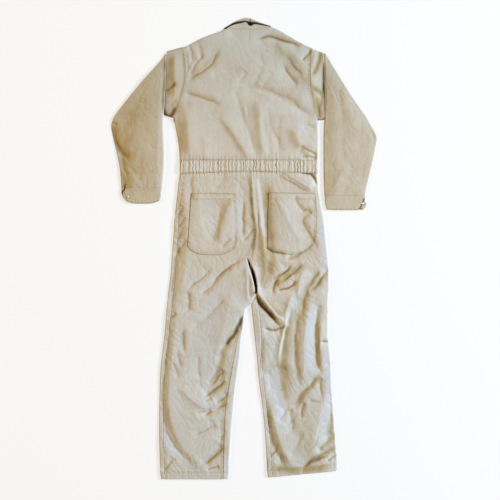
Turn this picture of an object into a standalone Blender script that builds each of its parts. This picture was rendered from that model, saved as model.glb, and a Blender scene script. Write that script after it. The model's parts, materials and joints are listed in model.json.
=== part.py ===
"""A boiler suit of cotton twill, laid out flat with its back up and its sleeves folded down.

The front pieces lie flat on the surface, the back pieces lie over them, and the front legs wrap
round the edges to their seams on top. Every piece is a cloth wall, apart by a small gap at seams.
Tables are in millimetres: x to the right, y toward the collar, z up, origin under the middle.
"""

import math
from collections import namedtuple

import bmesh
import bpy
from mathutils import Vector

MM = 0.001
COLLECTION = "boiler_suit"

# Driving dimensions, in millimetres.
WALL = 1.6  # thickness of a cloth wall
POCKET_WALL = 1.2
SEAM_GAP = 0.3  # between two pieces at a seam
TURN_GAP = 1.4  # between them where the seam goes round the edge at the crotch
ARM_GAP = 0.5  # between a sleeve's head and its arm, which folds down beside it
TURNED = 14.0  # seams this far past the edge's outermost line are clear of that turn
TOP = 7.0  # middle of the upper layer where no fold lifts it
SLEEVE_TOP = 6.4
MOST = 20.0  # middle of the highest fold
ROLL = 3.5  # how far in an edge rolls over, seen from above
ARC = 5.0  # length of cloth from a rolled edge's outermost line to the top of the roll
FLAT = WALL / 2  # middle of the lower layer
LEAST = 1.5 * WALL + 0.5  # lowest middle of an upper layer that lies on the lower one
RIM_ROLL = 5.0  # roll of the body's own side and shoulder edges
RIM_END = 0.6  # height of the wall's end under such an edge
UNDER_INSET = 2.6  # how far inside such an edge the lower layer ends
CENTRE = 24  # centre front
PLACKET_WIDTH = 36.0
WAIST_TOP = 308
WAIST_SEAM = 268  # at the centre back
WAIST_FALL = 0.031  # the waist seam falls by this share toward each side
COLLAR_GAP = 1.3  # between the collar and the back neck
GATHERS = 38
GATHER_DEPTH = 1.5
GATHER_POINTS = 4
SNAP_WIDTH = 9.0
SNAP_DEPTH = 1.6
SNAP_BEVEL = 0.6
CUFF_SLIT = 11.0  # from the cuff's outer edge to its slit
HEAD_LIFT = 0.8  # how far a sleeve head stays above the lower layer beside the arm
HEAD_ROLL = 1.6  # roll of a sleeve head beside the arm
SLEEVE_SEAM_IN = 10.0  # from the roll of an arm's inner edge to its seam underneath
ARMHOLE_INSET = 3.6  # of the fronts inside the back at the armhole
SHOULDER_INSET = (4.0, 4.5)  # of the fronts inside the back at the shoulder, across and down

# Points across the flat part of each panel.
BACK_POINTS = 21
BACK_ROWS = 13
FRONT_POINTS = 7
FRONT_ROWS = 10
LEG_POINTS = 13
ARM_POINTS = 9

# Distances in from a rolled edge, for closer points there.
EDGE_STEPS = (0.0, 0.5, 2.0, 5.0)
ROLL_STEPS = (0.0, 3.0, 8.0)
UNDER_STEPS = (30.0, 20.0, 12.0, 6.0, 3.0, 1.0, 0.0)
BACK_WIDTH = 490.0
BACK_HEIGHT = 400.0

CLOTH = (0.56, 0.51, 0.41, 1.0)
PEARL = (0.86, 0.85, 0.81, 1.0)

Fold = namedtuple("Fold", "height left right path")
Row = namedtuple("Row", "y tilt left left_kind left_arc right right_kind right_arc strips")
Section = namedtuple("Section", "y outer inner")
Cuff = namedtuple("Cuff", "y outer inner sag")
Ring = namedtuple("Ring", "seam seam_z free free_z")

# A fold lifts the cloth by its height along its path. Going down the path, left is the width of
# its left flank and right that of its right one.
BODY_FOLDS = [
    # upper back
    Fold(-3.5, 14, 14, [(87.5, 728), (136.5, 665), (185.5, 619.5), (234.5, 563.5)]),
    Fold(3.0, 18, 10, [(136.5, 735), (182, 686), (234.5, 623)]),
    Fold(-3.0, 12, 14, [(-77, 714), (-115.5, 637), (-210, 567)]),
    Fold(3.5, 12, 16, [(-70, 574), (28, 567), (136.5, 528.5), (245, 455)]),
    Fold(3.5, 14, 18, [(14, 532), (63, 371), (84, 308)]),
    Fold(3.0, 12, 10, [(-112, 476), (-49, 416.5), (0, 343), (21, 308)]),
    Fold(2.5, 14, 10, [(147, 441), (189, 360.5), (224, 318.5)]),
    Fold(-3.0, 8, 9, [(196, 367.5), (231, 346.5), (262.5, 322)]),
    Fold(-3.0, 22, 14, [(-220.5, 518), (-220.5, 413), (-217, 308)]),
    Fold(2.5, 16, 14, [(-28, 574), (-14, 497), (3.5, 420), (3.5, 322)]),
    # seat
    Fold(6.0, 12, 8, [(38.5, 280), (49, 203), (56, 126), (70, 49), (77, -49), (63, -126)]),
    Fold(-3.5, 12, 12, [(73.5, 252), (77, 150.5), (98, 56), (105, -49), (91, -126)]),
    Fold(-3.5, 7, 7, [(38.5, 126), (49, 42), (38.5, -28)]),
    Fold(3.5, 10, 10, [(119, 273), (171.5, 234.5), (245, 199.5)]),
    Fold(3.0, 16, 14, [(-203, 217), (-203, 115.5), (-210, 10.5), (-231, -70)]),
    # crotch opening: the right leg's fold stands over it
    Fold(7.0, 26, 4, [
        (12, -17.5), (21, -49), (37, -84), (45.5, -147), (91, -206.5), (143.5, -262.5), (168, -294),
    ]),
    Fold(-4.5, 7, 7, [(31.5, -140), (52.5, -185.5), (84, -224), (126, -273)]),
    # right leg
    Fold(5.0, 11, 7, [(150.5, -224), (143.5, -269.5), (136.5, -322), (122.5, -406), (136.5, -525)]),
    Fold(-4.0, 16, 14, [(161, -245), (157.5, -339.5), (150.5, -444.5), (154, -574)]),
    Fold(3.5, 16, 12, [(192.5, -84), (171.5, -182), (154, -259)]),
    Fold(-4.0, 10, 9, [(283.5, -63), (231, -150.5), (206.5, -203), (182, -287), (178.5, -399)]),
    Fold(3.0, 22, 12, [(231, -203), (210, -322), (203, -476)]),
    Fold(4.0, 16, 20, [(287, -343), (294, -504), (273, -637), (224, -763)]),
    Fold(-3.5, 8, 8, [(273, -430.5), (224, -486.5), (182, -567)]),
    Fold(4.5, 20, 13, [(87.5, -504), (101.5, -619.5), (136.5, -714), (175, -791)]),
    Fold(-3.5, 8, 8, [(325.5, -647.5), (273, -696.5), (217, -752.5)]),
    # left leg
    Fold(5.0, 4, 26, [(31.5, -168), (0, -231), (-52.5, -322), (-87.5, -392), (-105, -476)]),
    Fold(3.0, 10, 12, [(7, -49), (7, -112), (7, -182)]),
    Fold(5.0, 24, 9, [
        (-241.5, -238), (-262.5, -339.5), (-266, -532), (-234.5, -637), (-185.5, -724.5), (-126, -791),
    ]),
    Fold(-3.5, 10, 10, [(-273, -595), (-234.5, -693), (-161, -787.5)]),
    Fold(-3.0, 9, 9, [(-140, -532), (-101.5, -500.5), (-63, -476)]),
    Fold(-3.5, 9, 9, [(-161, -763), (-108.5, -735), (-70, -693)]),
    Fold(-2.5, 10, 10, [(-203, -175), (-133, -112), (-63, -49)]),
    Fold(2.5, 18, 18, [(-154, -238), (-182, -392), (-168, -532)]),
]
LEFT_SLEEVE_FOLDS = [
    Fold(3.5, 8, 26, [(-269.5, 707), (-276.5, 605.5), (-283.5, 476), (-283.5, 395.5)]),
    Fold(-2.5, 9, 9, [(-469, 451.5), (-427, 367.5), (-385, 301)]),
    Fold(2.0, 16, 16, [(-413, 476), (-378, 378), (-364, 252)]),
    Fold(-2.0, 8, 8, [(-350, 343), (-357, 231)]),
]
RIGHT_SLEEVE_FOLDS = [
    Fold(3.5, 26, 8, [(276.5, 707), (287, 605.5), (287, 476), (283.5, 385)]),
    Fold(-2.5, 10, 12, [(329, 525), (357, 448), (346.5, 315)]),
    Fold(2.5, 16, 16, [(378, 483), (378, 343), (357, 182)]),
    Fold(-2.0, 10, 10, [(287, 182), (315, 224), (346.5, 273)]),
]

# Legs, from the waist down. A side is a seam, a gap where an edge comes down on the lower layer,
# or an edge, with the length of cloth from the edge's outermost line to its seam: over the top it
# is positive, and underneath it is negative.
UNDER = -ARC
LEFT_LEG = [
    Row(WAIST_SEAM, 0.031, -224.5, "edge", 17, 24.5, "seam", 0, 1),
    Row(231, 0.015, -230, "edge", 17, 26, "seam", 0, 1),
    Row(199.5, 0, -233, "edge", 17, 28, "seam", 0, 2),
    Row(108.5, 0, -243, "edge", 17, 35.5, "seam", 0, 1),
    Row(70, 0, -245.5, "edge", 17, 42, "seam", 0, 1),
    Row(35, 0, -248, "edge", 17, 38.5, "seam", 0, 1),
    Row(3.5, 0, -250.5, "edge", 17, 27.5, "seam", 0, 1),
    Row(-31.5, 0, -253.5, "edge", 17, 12.5, "seam", 0, 1),
    Row(-56, 0, -255, "edge", 18, 15.5, "gap", 0, 1),
    Row(-91, 0, -257.5, "edge", 19, 26, "gap", 0, 1),
    Row(-126, 0, -261.5, "edge", 20, 35, "gap", 0, 1),
    Row(-150.5, 0, -265, "edge", 20, 38.5, "gap", 0, 1),
    Row(-171.5, 0, -267, "edge", 20, 32.5, "gap", 0, 1),
    Row(-192.5, 0, -269, "edge", 20, 22.5, "gap", 0, 1),
    Row(-210, 0, -271, "edge", 20, 8.5, "edge", -2, 1),
    Row(-227.5, 0, -272.5, "edge", 20, 1.5, "edge", 3, 1),
    Row(-252, 0, -274.5, "edge", 18, -1, "edge", 6, 1),
    Row(-280, 0, -277, "edge", 17, -4, "edge", 9, 1),
    Row(-315, 0, -280, "edge", 17, -10.5, "edge", 13, 2),
    Row(-378, 0, -288, "edge", 17, -15.5, "edge", 21, 2),
    Row(-441, 0, -294, "edge", 17, -24.5, "edge", 23, 2),
    Row(-518, 0, -296, "edge", 17, -34.5, "edge", 27, 2),
    Row(-595, 0, -297.5, "edge", 17, -41, "edge", 29, 2),
    Row(-672, 0, -297, "edge", 17, -47, "edge", 26, 2),
    Row(-742, 0, -295, "edge", 17, -52, "edge", 23, 1),
    Row(-780.5, 0, -294, "edge", 17, -52.5, "edge", 22, 1),
    Row(-808, 0, -290, "edge", 17, -56, "edge", 20, 0),
]
RIGHT_LEG = [
    Row(WAIST_SEAM, -0.031, 24.5, "seam", 0, 256, "edge", UNDER, 1),
    Row(231, -0.015, 26, "seam", 0, 258, "edge", UNDER, 1),
    Row(199.5, 0, 28, "seam", 0, 261.5, "edge", UNDER, 2),
    Row(108.5, 0, 35.5, "seam", 0, 277, "edge", UNDER, 1),
    Row(70, 0, 42, "seam", 0, 282, "edge", UNDER, 1),
    Row(35, 0, 38.5, "seam", 0, 285.5, "edge", UNDER, 1),
    Row(3.5, 0, 27.5, "seam", 0, 289, "edge", UNDER, 1),
    Row(-31.5, 0, 12.5, "seam", 0, 292.5, "edge", UNDER, 1),
    Row(-56, 0, 23, "gap", 0, 295, "edge", UNDER, 1),
    Row(-91, 0, 38, "gap", 0, 297, "edge", UNDER, 1),
    Row(-126, 0, 45, "gap", 0, 297, "edge", UNDER, 1),
    Row(-147, 0, 46.5, "gap", 0, 297, "edge", UNDER, 1),
    Row(-164.5, 0, 41.5, "edge", 3, 295.5, "edge", UNDER, 1),
    Row(-178.5, 0, 34.5, "edge", 13, 294.5, "edge", UNDER, 1),
    Row(-196, 0, 25.5, "edge", 24, 294, "edge", UNDER, 1),
    Row(-213.5, 0, 26, "edge", 28, 294, "edge", UNDER, 1),
    Row(-241.5, 0, 29, "edge", 28, 294, "edge", UNDER, 1),
    Row(-273, 0, 32.5, "edge", 27, 294, "edge", UNDER, 1),
    Row(-315, 0, 37, "edge", 25, 294, "edge", UNDER, 2),
    Row(-378, 0, 44.5, "edge", 20, 301.5, "edge", UNDER, 2),
    Row(-441, 0, 49.5, "edge", 18, 305, "edge", UNDER, 2),
    Row(-518, 0, 59, "edge", 17, 308, "edge", UNDER, 2),
    Row(-595, 0, 68.5, "edge", 17, 314, "edge", UNDER, 2),
    Row(-675.5, 0.015, 75, "edge", 18, 320, "edge", UNDER, 2),
    Row(-749, 0.06, 79, "edge", 18, 325, "edge", UNDER, 1),
    Row(-780.5, 0.09, 80, "edge", 18, 327, "edge", UNDER, 1),
    Row(-808, 0.095, 84, "edge", 18, 326, "edge", UNDER, 0),
]

# Upper back: its sides run up to the underarm as rolled edges and then as armhole seams.
BACK_LEFT_SIDE = [(-226, 308), (-228.5, 350), (-235, 392), (-243, 434), (-247, 451.5)]
BACK_LEFT_ARMHOLE = [
    (-236, 474), (-229, 493.5), (-219.5, 528.5), (-211.5, 567), (-207, 609), (-207, 651), (-213.5, 679),
]
BACK_RIGHT_SIDE = [(259, 308), (260.5, 364), (260, 420), (258.5, 444.5)]
BACK_RIGHT_ARMHOLE = [
    (253.5, 472.5), (245, 504), (236.5, 535.5), (231.5, 567), (230.5, 609), (232.5, 658), (236, 682.5),
]
LEFT_SHOULDER = [
    (-220.5, 703.5), (-203, 706.5), (-185.5, 715.5), (-161, 728), (-129.5, 742), (-101.5, 752.5), (-79, 759.5),
]
NECK = [(-49, 768.5), (-14, 768), (17, 766), (45.5, 768), (70, 770.5)]
RIGHT_SHOULDER = [(96, 775), (126, 761), (161, 740.5), (196, 721), (217, 710), (238, 700)]
FRONT_NECK = [(-66.5, 751), (-42, 756.5), (-10.5, 759), (28, 759.5), (59.5, 759), (84, 756)]

# Sleeves, from the shoulder down: the outer edge, the inner edge where the sleeve folds down.
LEFT_ARM = [
    Section(678.5, -278, -271),
    Section(668.5, -283.5, -271.5),
    Section(654.5, -294, -272.5),
    Section(630, -315, -273),
    Section(588, -353, -275),
    Section(546, -388, -276.5),
    Section(504, -422, -278.5),
    Section(472.5, -446.5, -282),
    Section(448, -460.5, -283.5),
    Section(423.5, -465.5, -283.5),
    Section(392, -460, -282),
    Section(353.5, -451, -280.5),
    Section(308, -440.5, -280),
    Section(259, -433, -282),
    Section(210, -430, -287),
]
RIGHT_ARM = [
    Section(672, 290, 281),
    Section(661.5, 298, 281.5),
    Section(644, 308, 282),
    Section(616, 325, 283.5),
    Section(574, 351, 285),
    Section(532, 377.5, 285.5),
    Section(490, 406.5, 284.5),
    Section(458.5, 428.5, 282),
    Section(427, 446, 279.5),
    Section(402.5, 460, 278.5),
    Section(381.5, 465.5, 278),
    Section(353.5, 460.5, 278),
    Section(308, 451.5, 278),
    Section(266, 442, 278.5),
    Section(224, 432, 279.5),
    Section(183.5, 423, 281.5),
]
# Cuffs, the same way, with how far each row's ends fall at the sides.
LEFT_CUFF = [
    Cuff(209.5, -429.5, -287, 0),
    Cuff(196, -430, -288.5, 0),
    Cuff(178.5, -426, -290.5, 3),
    Cuff(155.5, -418.5, -293.5, 14),
]
RIGHT_CUFF = [
    Cuff(182.5, 423, 282, 0),
    Cuff(168, 423.5, 283, 0),
    Cuff(152, 430, 285, 0),
    Cuff(133, 420, 290, 2),
]
# Top and bottom of each sleeve head where it meets the arm.
LEFT_HEAD_ENDS = (690, 465.5)
RIGHT_HEAD_ENDS = (683, 449.5)
HEAD_FOLDS = [
    Fold(2.5, 8, 8, [(248.5, 700), (245, 651), (238, 595)]),
    Fold(-2.0, 6, 6, [(266, 693), (255.5, 637), (241.5, 595)]),
    Fold(2.5, 10, 10, [(238, 553), (259, 532), (287, 511)]),
    Fold(2.5, 10, 10, [(-276.5, 497), (-255.5, 511), (-231, 497)]),
]

LEFT_POCKET = [
    (-183.5, 191), (-42, 190.5), (-31, 184), (-26, 119), (-24, 49), (-27.5, 17.5), (-37, -3),
    (-52.5, -14.5), (-80.5, -23), (-117, -25), (-157.5, -20.5), (-182, -10), (-196.5, 7),
]
RIGHT_POCKET = [
    (85.5, 194), (247, 191), (251.5, 175), (253.5, 77), (249, 28), (236.5, 7), (213.5, -12),
    (189, -21), (157.5, -22.5), (115.5, -15.5), (82.5, -1.5),
]
LEFT_SNAP = (-405, 180)
RIGHT_SNAP = (409.5, 155.5)


def smoothstep(share):
    share = min(max(share, 0.0), 1.0)
    return share * share * (3 - 2 * share)


def smooth_line(points, steps=6):
    """A finer line through the points, rounded by Catmull-Rom."""
    ends = [points[0], *points, points[-1]]
    line = []
    for before, start, end, after in zip(ends, ends[1:], ends[2:], ends[3:]):
        for step in range(steps):
            t = step / steps
            line.append(tuple(
                0.5 * (2 * b + (c - a) * t + (2 * a - 5 * b + 4 * c - d) * t * t
                       + (3 * b - a - 3 * c + d) * t ** 3)
                for a, b, c, d in zip(before, start, end, after)
            ))
    return [*line, tuple(points[-1])]


def lengths_along(line):
    total = [0.0]
    for start, end in zip(line, line[1:]):
        total.append(total[-1] + math.dist(start, end))
    return total


def along(line, share):
    """The point at a share of the line's length."""
    total = lengths_along(line)
    wanted = share * total[-1]
    for index in range(len(line) - 1):
        if wanted <= total[index + 1] or index == len(line) - 2:
            t = (wanted - total[index]) / (total[index + 1] - total[index])
            return tuple(a + (b - a) * t for a, b in zip(line[index], line[index + 1]))


def nearest_on(line, x, y):
    """(distance, +1 left or -1 right, share along) of a point against a line."""
    total = lengths_along(line)
    best = (math.inf, 1, 0.0)
    for index in range(len(line) - 1):
        (ax, ay), (bx, by) = line[index], line[index + 1]
        dx, dy = bx - ax, by - ay
        t = ((x - ax) * dx + (y - ay) * dy) / (dx * dx + dy * dy)
        t = min(max(t, 0.0), 1.0)
        away = math.hypot(x - ax - dx * t, y - ay - dy * t)
        if away < best[0]:
            side = 1 if dx * (y - ay) - dy * (x - ax) > 0 else -1
            best = (away, side, (total[index] + t * math.hypot(dx, dy)) / total[-1])
    return best


def folded(folds, level):
    """A function that gives the height of an upper layer with these folds."""
    ready = [(fold, smooth_line(fold.path, 3)) for fold in folds]

    def height(x, y):
        z = level
        for fold, line in ready:
            away, side, share = nearest_on(line, x, y)
            width = fold.left if side > 0 else fold.right
            fade = smoothstep(min(share, 1 - share) / 0.2)
            z += fold.height * fade * math.exp(-((away / width) ** 2))
        return min(max(z, LEAST), MOST)

    return height


body_height = folded(BODY_FOLDS, TOP)
left_sleeve_height = folded(LEFT_SLEEVE_FOLDS, SLEEVE_TOP)
right_sleeve_height = folded(RIGHT_SLEEVE_FOLDS, SLEEVE_TOP)
head_height = folded(HEAD_FOLDS, TOP)


def rolled_edge(edge, side, arc, y, height, roll=ROLL):
    """(x, z) of the cloth's middle at a length of cloth from a rolled edge's outermost line."""
    top = height(edge - side * roll, y)
    middle, reach = (top + FLAT) / 2, (top - FLAT) / 2
    if abs(arc) < ARC:
        angle = arc / ARC * math.pi / 2
        return edge - side * roll * (1 - math.cos(angle)), middle + reach * math.sin(angle)
    x = edge - side * (roll + abs(arc) - ARC)
    return x, height(x, y) if arc > 0 else FLAT


def arc_to_rest(edge, side, y, height):
    """The length of cloth at which a rolled edge has come down on the lower layer."""
    top = height(edge - side * ROLL, y)
    middle, reach = (top + FLAT) / 2, (top - FLAT) / 2
    return math.asin(max((LEAST - middle) / reach, -1)) / (math.pi / 2) * ARC


def spread(start, end, count):
    return [start + (end - start) * index / (count - 1) for index in range(count)]


def leg_rows(table):
    """The table's rows with the strips between them filled in."""
    rows = []
    for row, after in zip(table, table[1:]):
        for strip in range(row.strips):
            share = strip / row.strips
            mixed = {
                name: getattr(row, name) + (getattr(after, name) - getattr(row, name)) * share
                for name in ("y", "tilt", "left", "left_arc", "right", "right_arc")
            }
            rows.append(row._replace(**mixed))
    return [*rows, table[-1]]


def side_of(row, side):
    """(outermost line, arc to the seam, kind) of one side of a leg row."""
    value, kind, arc = (
        (row.left, row.left_kind, row.left_arc) if side < 0 else (row.right, row.right_kind, row.right_arc)
    )
    if kind == "seam":
        return value + side * ROLL, ARC, kind
    return value - side * WALL / 2, arc, kind


def upper_row(row):
    """Points across a back leg at a row."""
    ends = []
    for side in (-1, 1):
        edge, arc, kind = side_of(row, side)
        lowest = UNDER if kind == "edge" and arc == UNDER else arc_to_rest(edge, side, row.y, body_height)
        start = max(arc + (SEAM_GAP / 2 if arc > TURNED or kind == "seam" else TURN_GAP), lowest)
        ends.append([rolled_edge(edge, side, start + extra, row.y, body_height) for extra in ROLL_STEPS])
    middle = spread(ends[0][-1][0], ends[1][-1][0], LEG_POINTS)[1:-1]
    across = ends[0] + [(x, body_height(x, row.y)) for x in middle] + ends[1][::-1]
    return [(x, row.y + row.tilt * (x - CENTRE), z) for x, z in across]


def lower_side(row, side):
    """Points of a front leg at one side, from the flat part outward."""
    edge, arc, kind = side_of(row, side)
    if kind != "edge":
        end = CENTRE - side * SEAM_GAP / 2
        return [(end - side * away, FLAT) for away in UNDER_STEPS]
    if arc == UNDER:
        end = UNDER - SEAM_GAP
        return [rolled_edge(edge, side, end - away, row.y, body_height) for away in UNDER_STEPS]
    arc -= SEAM_GAP / 2
    turned = min(arc - 0.6, ARC)
    stops = spread(UNDER, turned, 5) + spread(turned, arc, 3)[1:]
    return [rolled_edge(edge, side, stop, row.y, body_height) for stop in stops]


def lower_row(row):
    """Points of a front leg at a row: seam, round the edge, underneath, round the other edge."""
    left, right = lower_side(row, -1), lower_side(row, 1)
    middle = spread(left[0][0], right[0][0], 3)[1:-1]
    across = left[::-1] + [(x, FLAT) for x in middle] + right
    return [(x, row.y + row.tilt * (x - CENTRE), z) for x, z in across]


def grid(rows):
    """An open surface through rows of points, all of one length, shaped from a grid."""
    mesh = bmesh.new()
    bmesh.ops.create_grid(mesh, x_segments=len(rows[0]) - 1, y_segments=len(rows) - 1, size=0.5)
    mesh.verts.ensure_lookup_table()
    flat = [point for row in rows for point in row]
    for vertex in mesh.verts:
        column = round((vertex.co.x + 0.5) * (len(rows[0]) - 1))
        line = round((vertex.co.y + 0.5) * (len(rows) - 1))
        vertex.co = Vector(flat[line * len(rows[0]) + column]) * MM
    return mesh


def material(name, colour, roughness):
    made = bpy.data.materials.new(name)
    made.use_nodes = True
    shader = made.node_tree.nodes["Principled BSDF"]
    shader.inputs["Base Color"].default_value = colour
    shader.inputs["Roughness"].default_value = roughness
    return made


def add_object(name, mesh, colour=CLOTH, roughness=0.85):
    """An object of its own material, in the part's collection."""
    data = bpy.data.meshes.new(name)
    mesh.to_mesh(data)
    mesh.free()
    data.shade_smooth()
    made = bpy.data.objects.new(name, data)
    kind = "cloth" if colour is CLOTH else "pearl"
    data.materials.append(material(f"{name}_{kind}", colour, roughness))
    bpy.data.collections[COLLECTION].objects.link(made)
    return made


def add_wall(made, thickness):
    solidify = made.modifiers.new("wall", "SOLIDIFY")
    solidify.thickness = thickness * MM
    solidify.offset = 0.0


def add_cloth(name, rows):
    """A cloth wall on an open surface."""
    mesh = grid(rows)
    bmesh.ops.triangulate(mesh, faces=mesh.faces)
    add_wall(add_object(name, mesh), WALL)


def patch(bottom, top, left, right, shares_across, shares_up):
    """Plan points of a surface between four edge lines."""
    rows = []
    for v in shares_up:
        row = []
        for u in shares_across:
            low, high = along(bottom, u), along(top, u)
            west, east = along(left, v), along(right, v)
            corners = [
                (1 - u) * (1 - v) * bottom[0][i] + u * (1 - v) * bottom[-1][i]
                + (1 - u) * v * top[0][i] + u * v * top[-1][i]
                for i in (0, 1)
            ]
            row.append(tuple(
                (1 - v) * low[i] + v * high[i] + (1 - u) * west[i] + u * east[i] - corners[i] for i in (0, 1)
            ))
        rows.append(row)
    return rows


def edge_shares(count, width, at_start):
    """Shares across the back, closer together at an edge that rolls over."""
    start = [step / width for step in EDGE_STEPS] if at_start else [0.0]
    end = [1 - step / width for step in reversed(EDGE_STEPS)]
    return start + spread(start[-1], end[0], count)[1:-1] + end


BACK_ACROSS = edge_shares(BACK_POINTS, BACK_WIDTH, True)
BACK_UP = edge_shares(BACK_ROWS, BACK_HEIGHT, False)


def rim_height(rims, x, y, z):
    """The height of an upper layer that rolls down to the surface at its rims."""
    away = min(nearest_on(rim, x, y)[0] for rim in rims)
    inward = min(away / RIM_ROLL, 1.0)
    return RIM_END + (z - RIM_END) * math.sqrt(max(1 - (1 - inward) ** 2, 0.0))


def moved(points, dx=0.0, dy=0.0):
    return [(x + dx, y + dy) for x, y in points]


def body_side(side):
    """An edge line of the upper back, from the waist up the side and the armhole."""
    sides, armhole, shoulder = (
        (BACK_LEFT_SIDE, BACK_LEFT_ARMHOLE, LEFT_SHOULDER[0]) if side < 0
        else (BACK_RIGHT_SIDE, BACK_RIGHT_ARMHOLE, RIGHT_SHOULDER[-1])
    )
    return smooth_line([*moved(sides, dx=-side * WALL / 2), *armhole, *moved([shoulder], dy=-WALL / 2)])


def neck_line():
    """The back neck seam, between the two shoulders."""
    left, right = moved([LEFT_SHOULDER[-1], RIGHT_SHOULDER[0]], dy=-WALL / 2)
    return smooth_line([left, *NECK, right])


def body_rims():
    """The lines where the upper back rolls down to the surface: its sides and its shoulders."""
    sides = [
        smooth_line(moved(line, dx=-side * WALL / 2))
        for side, line in ((-1, BACK_LEFT_SIDE), (1, BACK_RIGHT_SIDE))
    ]
    return sides + [smooth_line(moved(line, dy=-WALL / 2)) for line in (LEFT_SHOULDER, RIGHT_SHOULDER)]


def back_point(rims, x, y):
    return x, y, rim_height(rims, x, y, body_height(x, y))


def add_back():
    left, right = body_side(-1), body_side(1)
    left_shoulder, right_shoulder = body_rims()[2:]
    top = [*left_shoulder, *neck_line()[1:], *right_shoulder[1:]]
    plan = patch([left[0], (CENTRE, WAIST_TOP), right[0]], top, left, right, BACK_ACROSS, BACK_UP)
    rims = body_rims()
    add_cloth("back", [[back_point(rims, x, y) for x, y in row] for row in plan])


def add_fronts():
    """The two fronts, their strip and the front waistband, flat on the surface."""
    gap = SEAM_GAP / 2
    across, down = SHOULDER_INSET
    for name, side, sides, armhole, shoulder, neck in (
        ("front_left", -1, BACK_LEFT_SIDE, BACK_LEFT_ARMHOLE, LEFT_SHOULDER, FRONT_NECK[:3]),
        ("front_right", 1, BACK_RIGHT_SIDE, BACK_RIGHT_ARMHOLE, RIGHT_SHOULDER[::-1], FRONT_NECK[:2:-1]),
    ):
        outer = moved(sides, dx=-side * UNDER_INSET) + moved(armhole, dx=-side * ARMHOLE_INSET)
        top = moved(shoulder, -side * across, -down)
        inner = CENTRE + side * (PLACKET_WIDTH / 2 + gap)
        neck_end = (inner, neck[-1][1])
        low = (outer[0][0], WAIST_TOP + gap)
        outer = smooth_line([low, *outer[1:], top[0]])
        top = smooth_line([*top[:-1], *neck, neck_end])
        inside = [(inner, WAIST_TOP + gap), neck_end]
        bottom = [outer[0], inside[0]]
        plan = patch(bottom, top, outer, inside, spread(0, 1, FRONT_POINTS), spread(0, 1, FRONT_ROWS))
        rows = [[(x, y, FLAT) for x, y in (row if side < 0 else row[::-1])] for row in plan]
        add_cloth(name, rows)
    half = PLACKET_WIDTH / 2 - gap
    ends = (WAIST_TOP + gap, FRONT_NECK[3][1])
    rows = [[(x, y, FLAT) for x in (CENTRE - half, CENTRE, CENTRE + half)] for y in spread(*ends, 4)]
    add_cloth("front_placket", rows)
    left, right = BACK_LEFT_SIDE[0][0] + UNDER_INSET, BACK_RIGHT_SIDE[0][0] - UNDER_INSET
    across = [*spread(left, CENTRE, 5), *spread(CENTRE, right, 5)[1:]]
    rows = [
        [(x, waist_seam(x) + SEAM_GAP, FLAT) for x in across],
        [(x, WAIST_TOP - gap, FLAT) for x in across],
    ]
    add_cloth("waistband_front", rows)


def waist_seam(x):
    return WAIST_SEAM - WAIST_FALL * abs(x - CENTRE)


def add_waistband_back():
    left, right = BACK_LEFT_SIDE[0][0] + WALL / 2, BACK_RIGHT_SIDE[0][0] - WALL / 2
    rims = [[(x, 220.5), (x, 343)] for x in (left, right)]
    rows = []
    *edge, last = EDGE_STEPS
    inner = spread(left + last, right - last, GATHERS * GATHER_POINTS + 1)
    across = [left + step for step in edge] + inner + [right - step for step in reversed(edge)]
    for share in (0.0, 1.0):
        row = []
        for x in across:
            low, high = waist_seam(x) + SEAM_GAP, WAIST_TOP - SEAM_GAP
            y = low + (high - low) * share
            turn = (x - inner[0]) / (inner[-1] - inner[0]) * GATHERS * 2 * math.pi
            wave = GATHER_DEPTH * (math.cos(turn) if inner[0] <= x <= inner[-1] else 1)
            z = max(body_height(x, y) + wave, LEAST)
            row.append((x, y, rim_height(rims, x, y, z)))
        rows.append(row)
    add_cloth("waistband_back", rows)


def add_legs():
    for name, table in (("left", LEFT_LEG), ("right", RIGHT_LEG)):
        upper = [upper_row(row) for row in leg_rows(table)]
        add_cloth(f"leg_back_{name}", upper[::-1])
        lower = [lower_row(row) for row in table]
        add_cloth(f"leg_front_{name}", [row[::-1] for row in lower[::-1]])


def arm_row(section, side, height):
    """Points round a sleeve at a section, from its underarm seam to the same seam again."""
    outer, inner = section.outer - side * WALL / 2, section.inner + side * WALL / 2
    width = abs(outer - inner)
    roll = min(ROLL, 0.4 * width)
    back = min(SLEEVE_SEAM_IN, 0.3 * (width - 2 * roll))
    y = section.y
    steps = spread(UNDER, ARC, 4)
    inner_turn = [rolled_edge(inner, -side, arc, y, height, roll) for arc in steps]
    outer_turn = [rolled_edge(outer, side, arc, y, height, roll) for arc in reversed(steps)]
    top = [(x, height(x, y)) for x in spread(inner_turn[-1][0], outer_turn[0][0], ARM_POINTS)[1:-1]]
    seam = inner + side * (roll + back)
    under = spread(outer_turn[-1][0], seam + side * SEAM_GAP, 4)[1:]
    across = [(seam, FLAT), *inner_turn, *top, *outer_turn, *[(x, FLAT) for x in under]]
    return [(x, y, z) for x, z in across]


def add_arms():
    for name, side, table, height in (
        ("left", -1, LEFT_ARM, left_sleeve_height), ("right", 1, RIGHT_ARM, right_sleeve_height),
    ):
        rows = [arm_row(section, side, height) for section in table]
        add_cloth(f"sleeve_{name}_arm", rows if side > 0 else [row[::-1] for row in rows])


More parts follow.
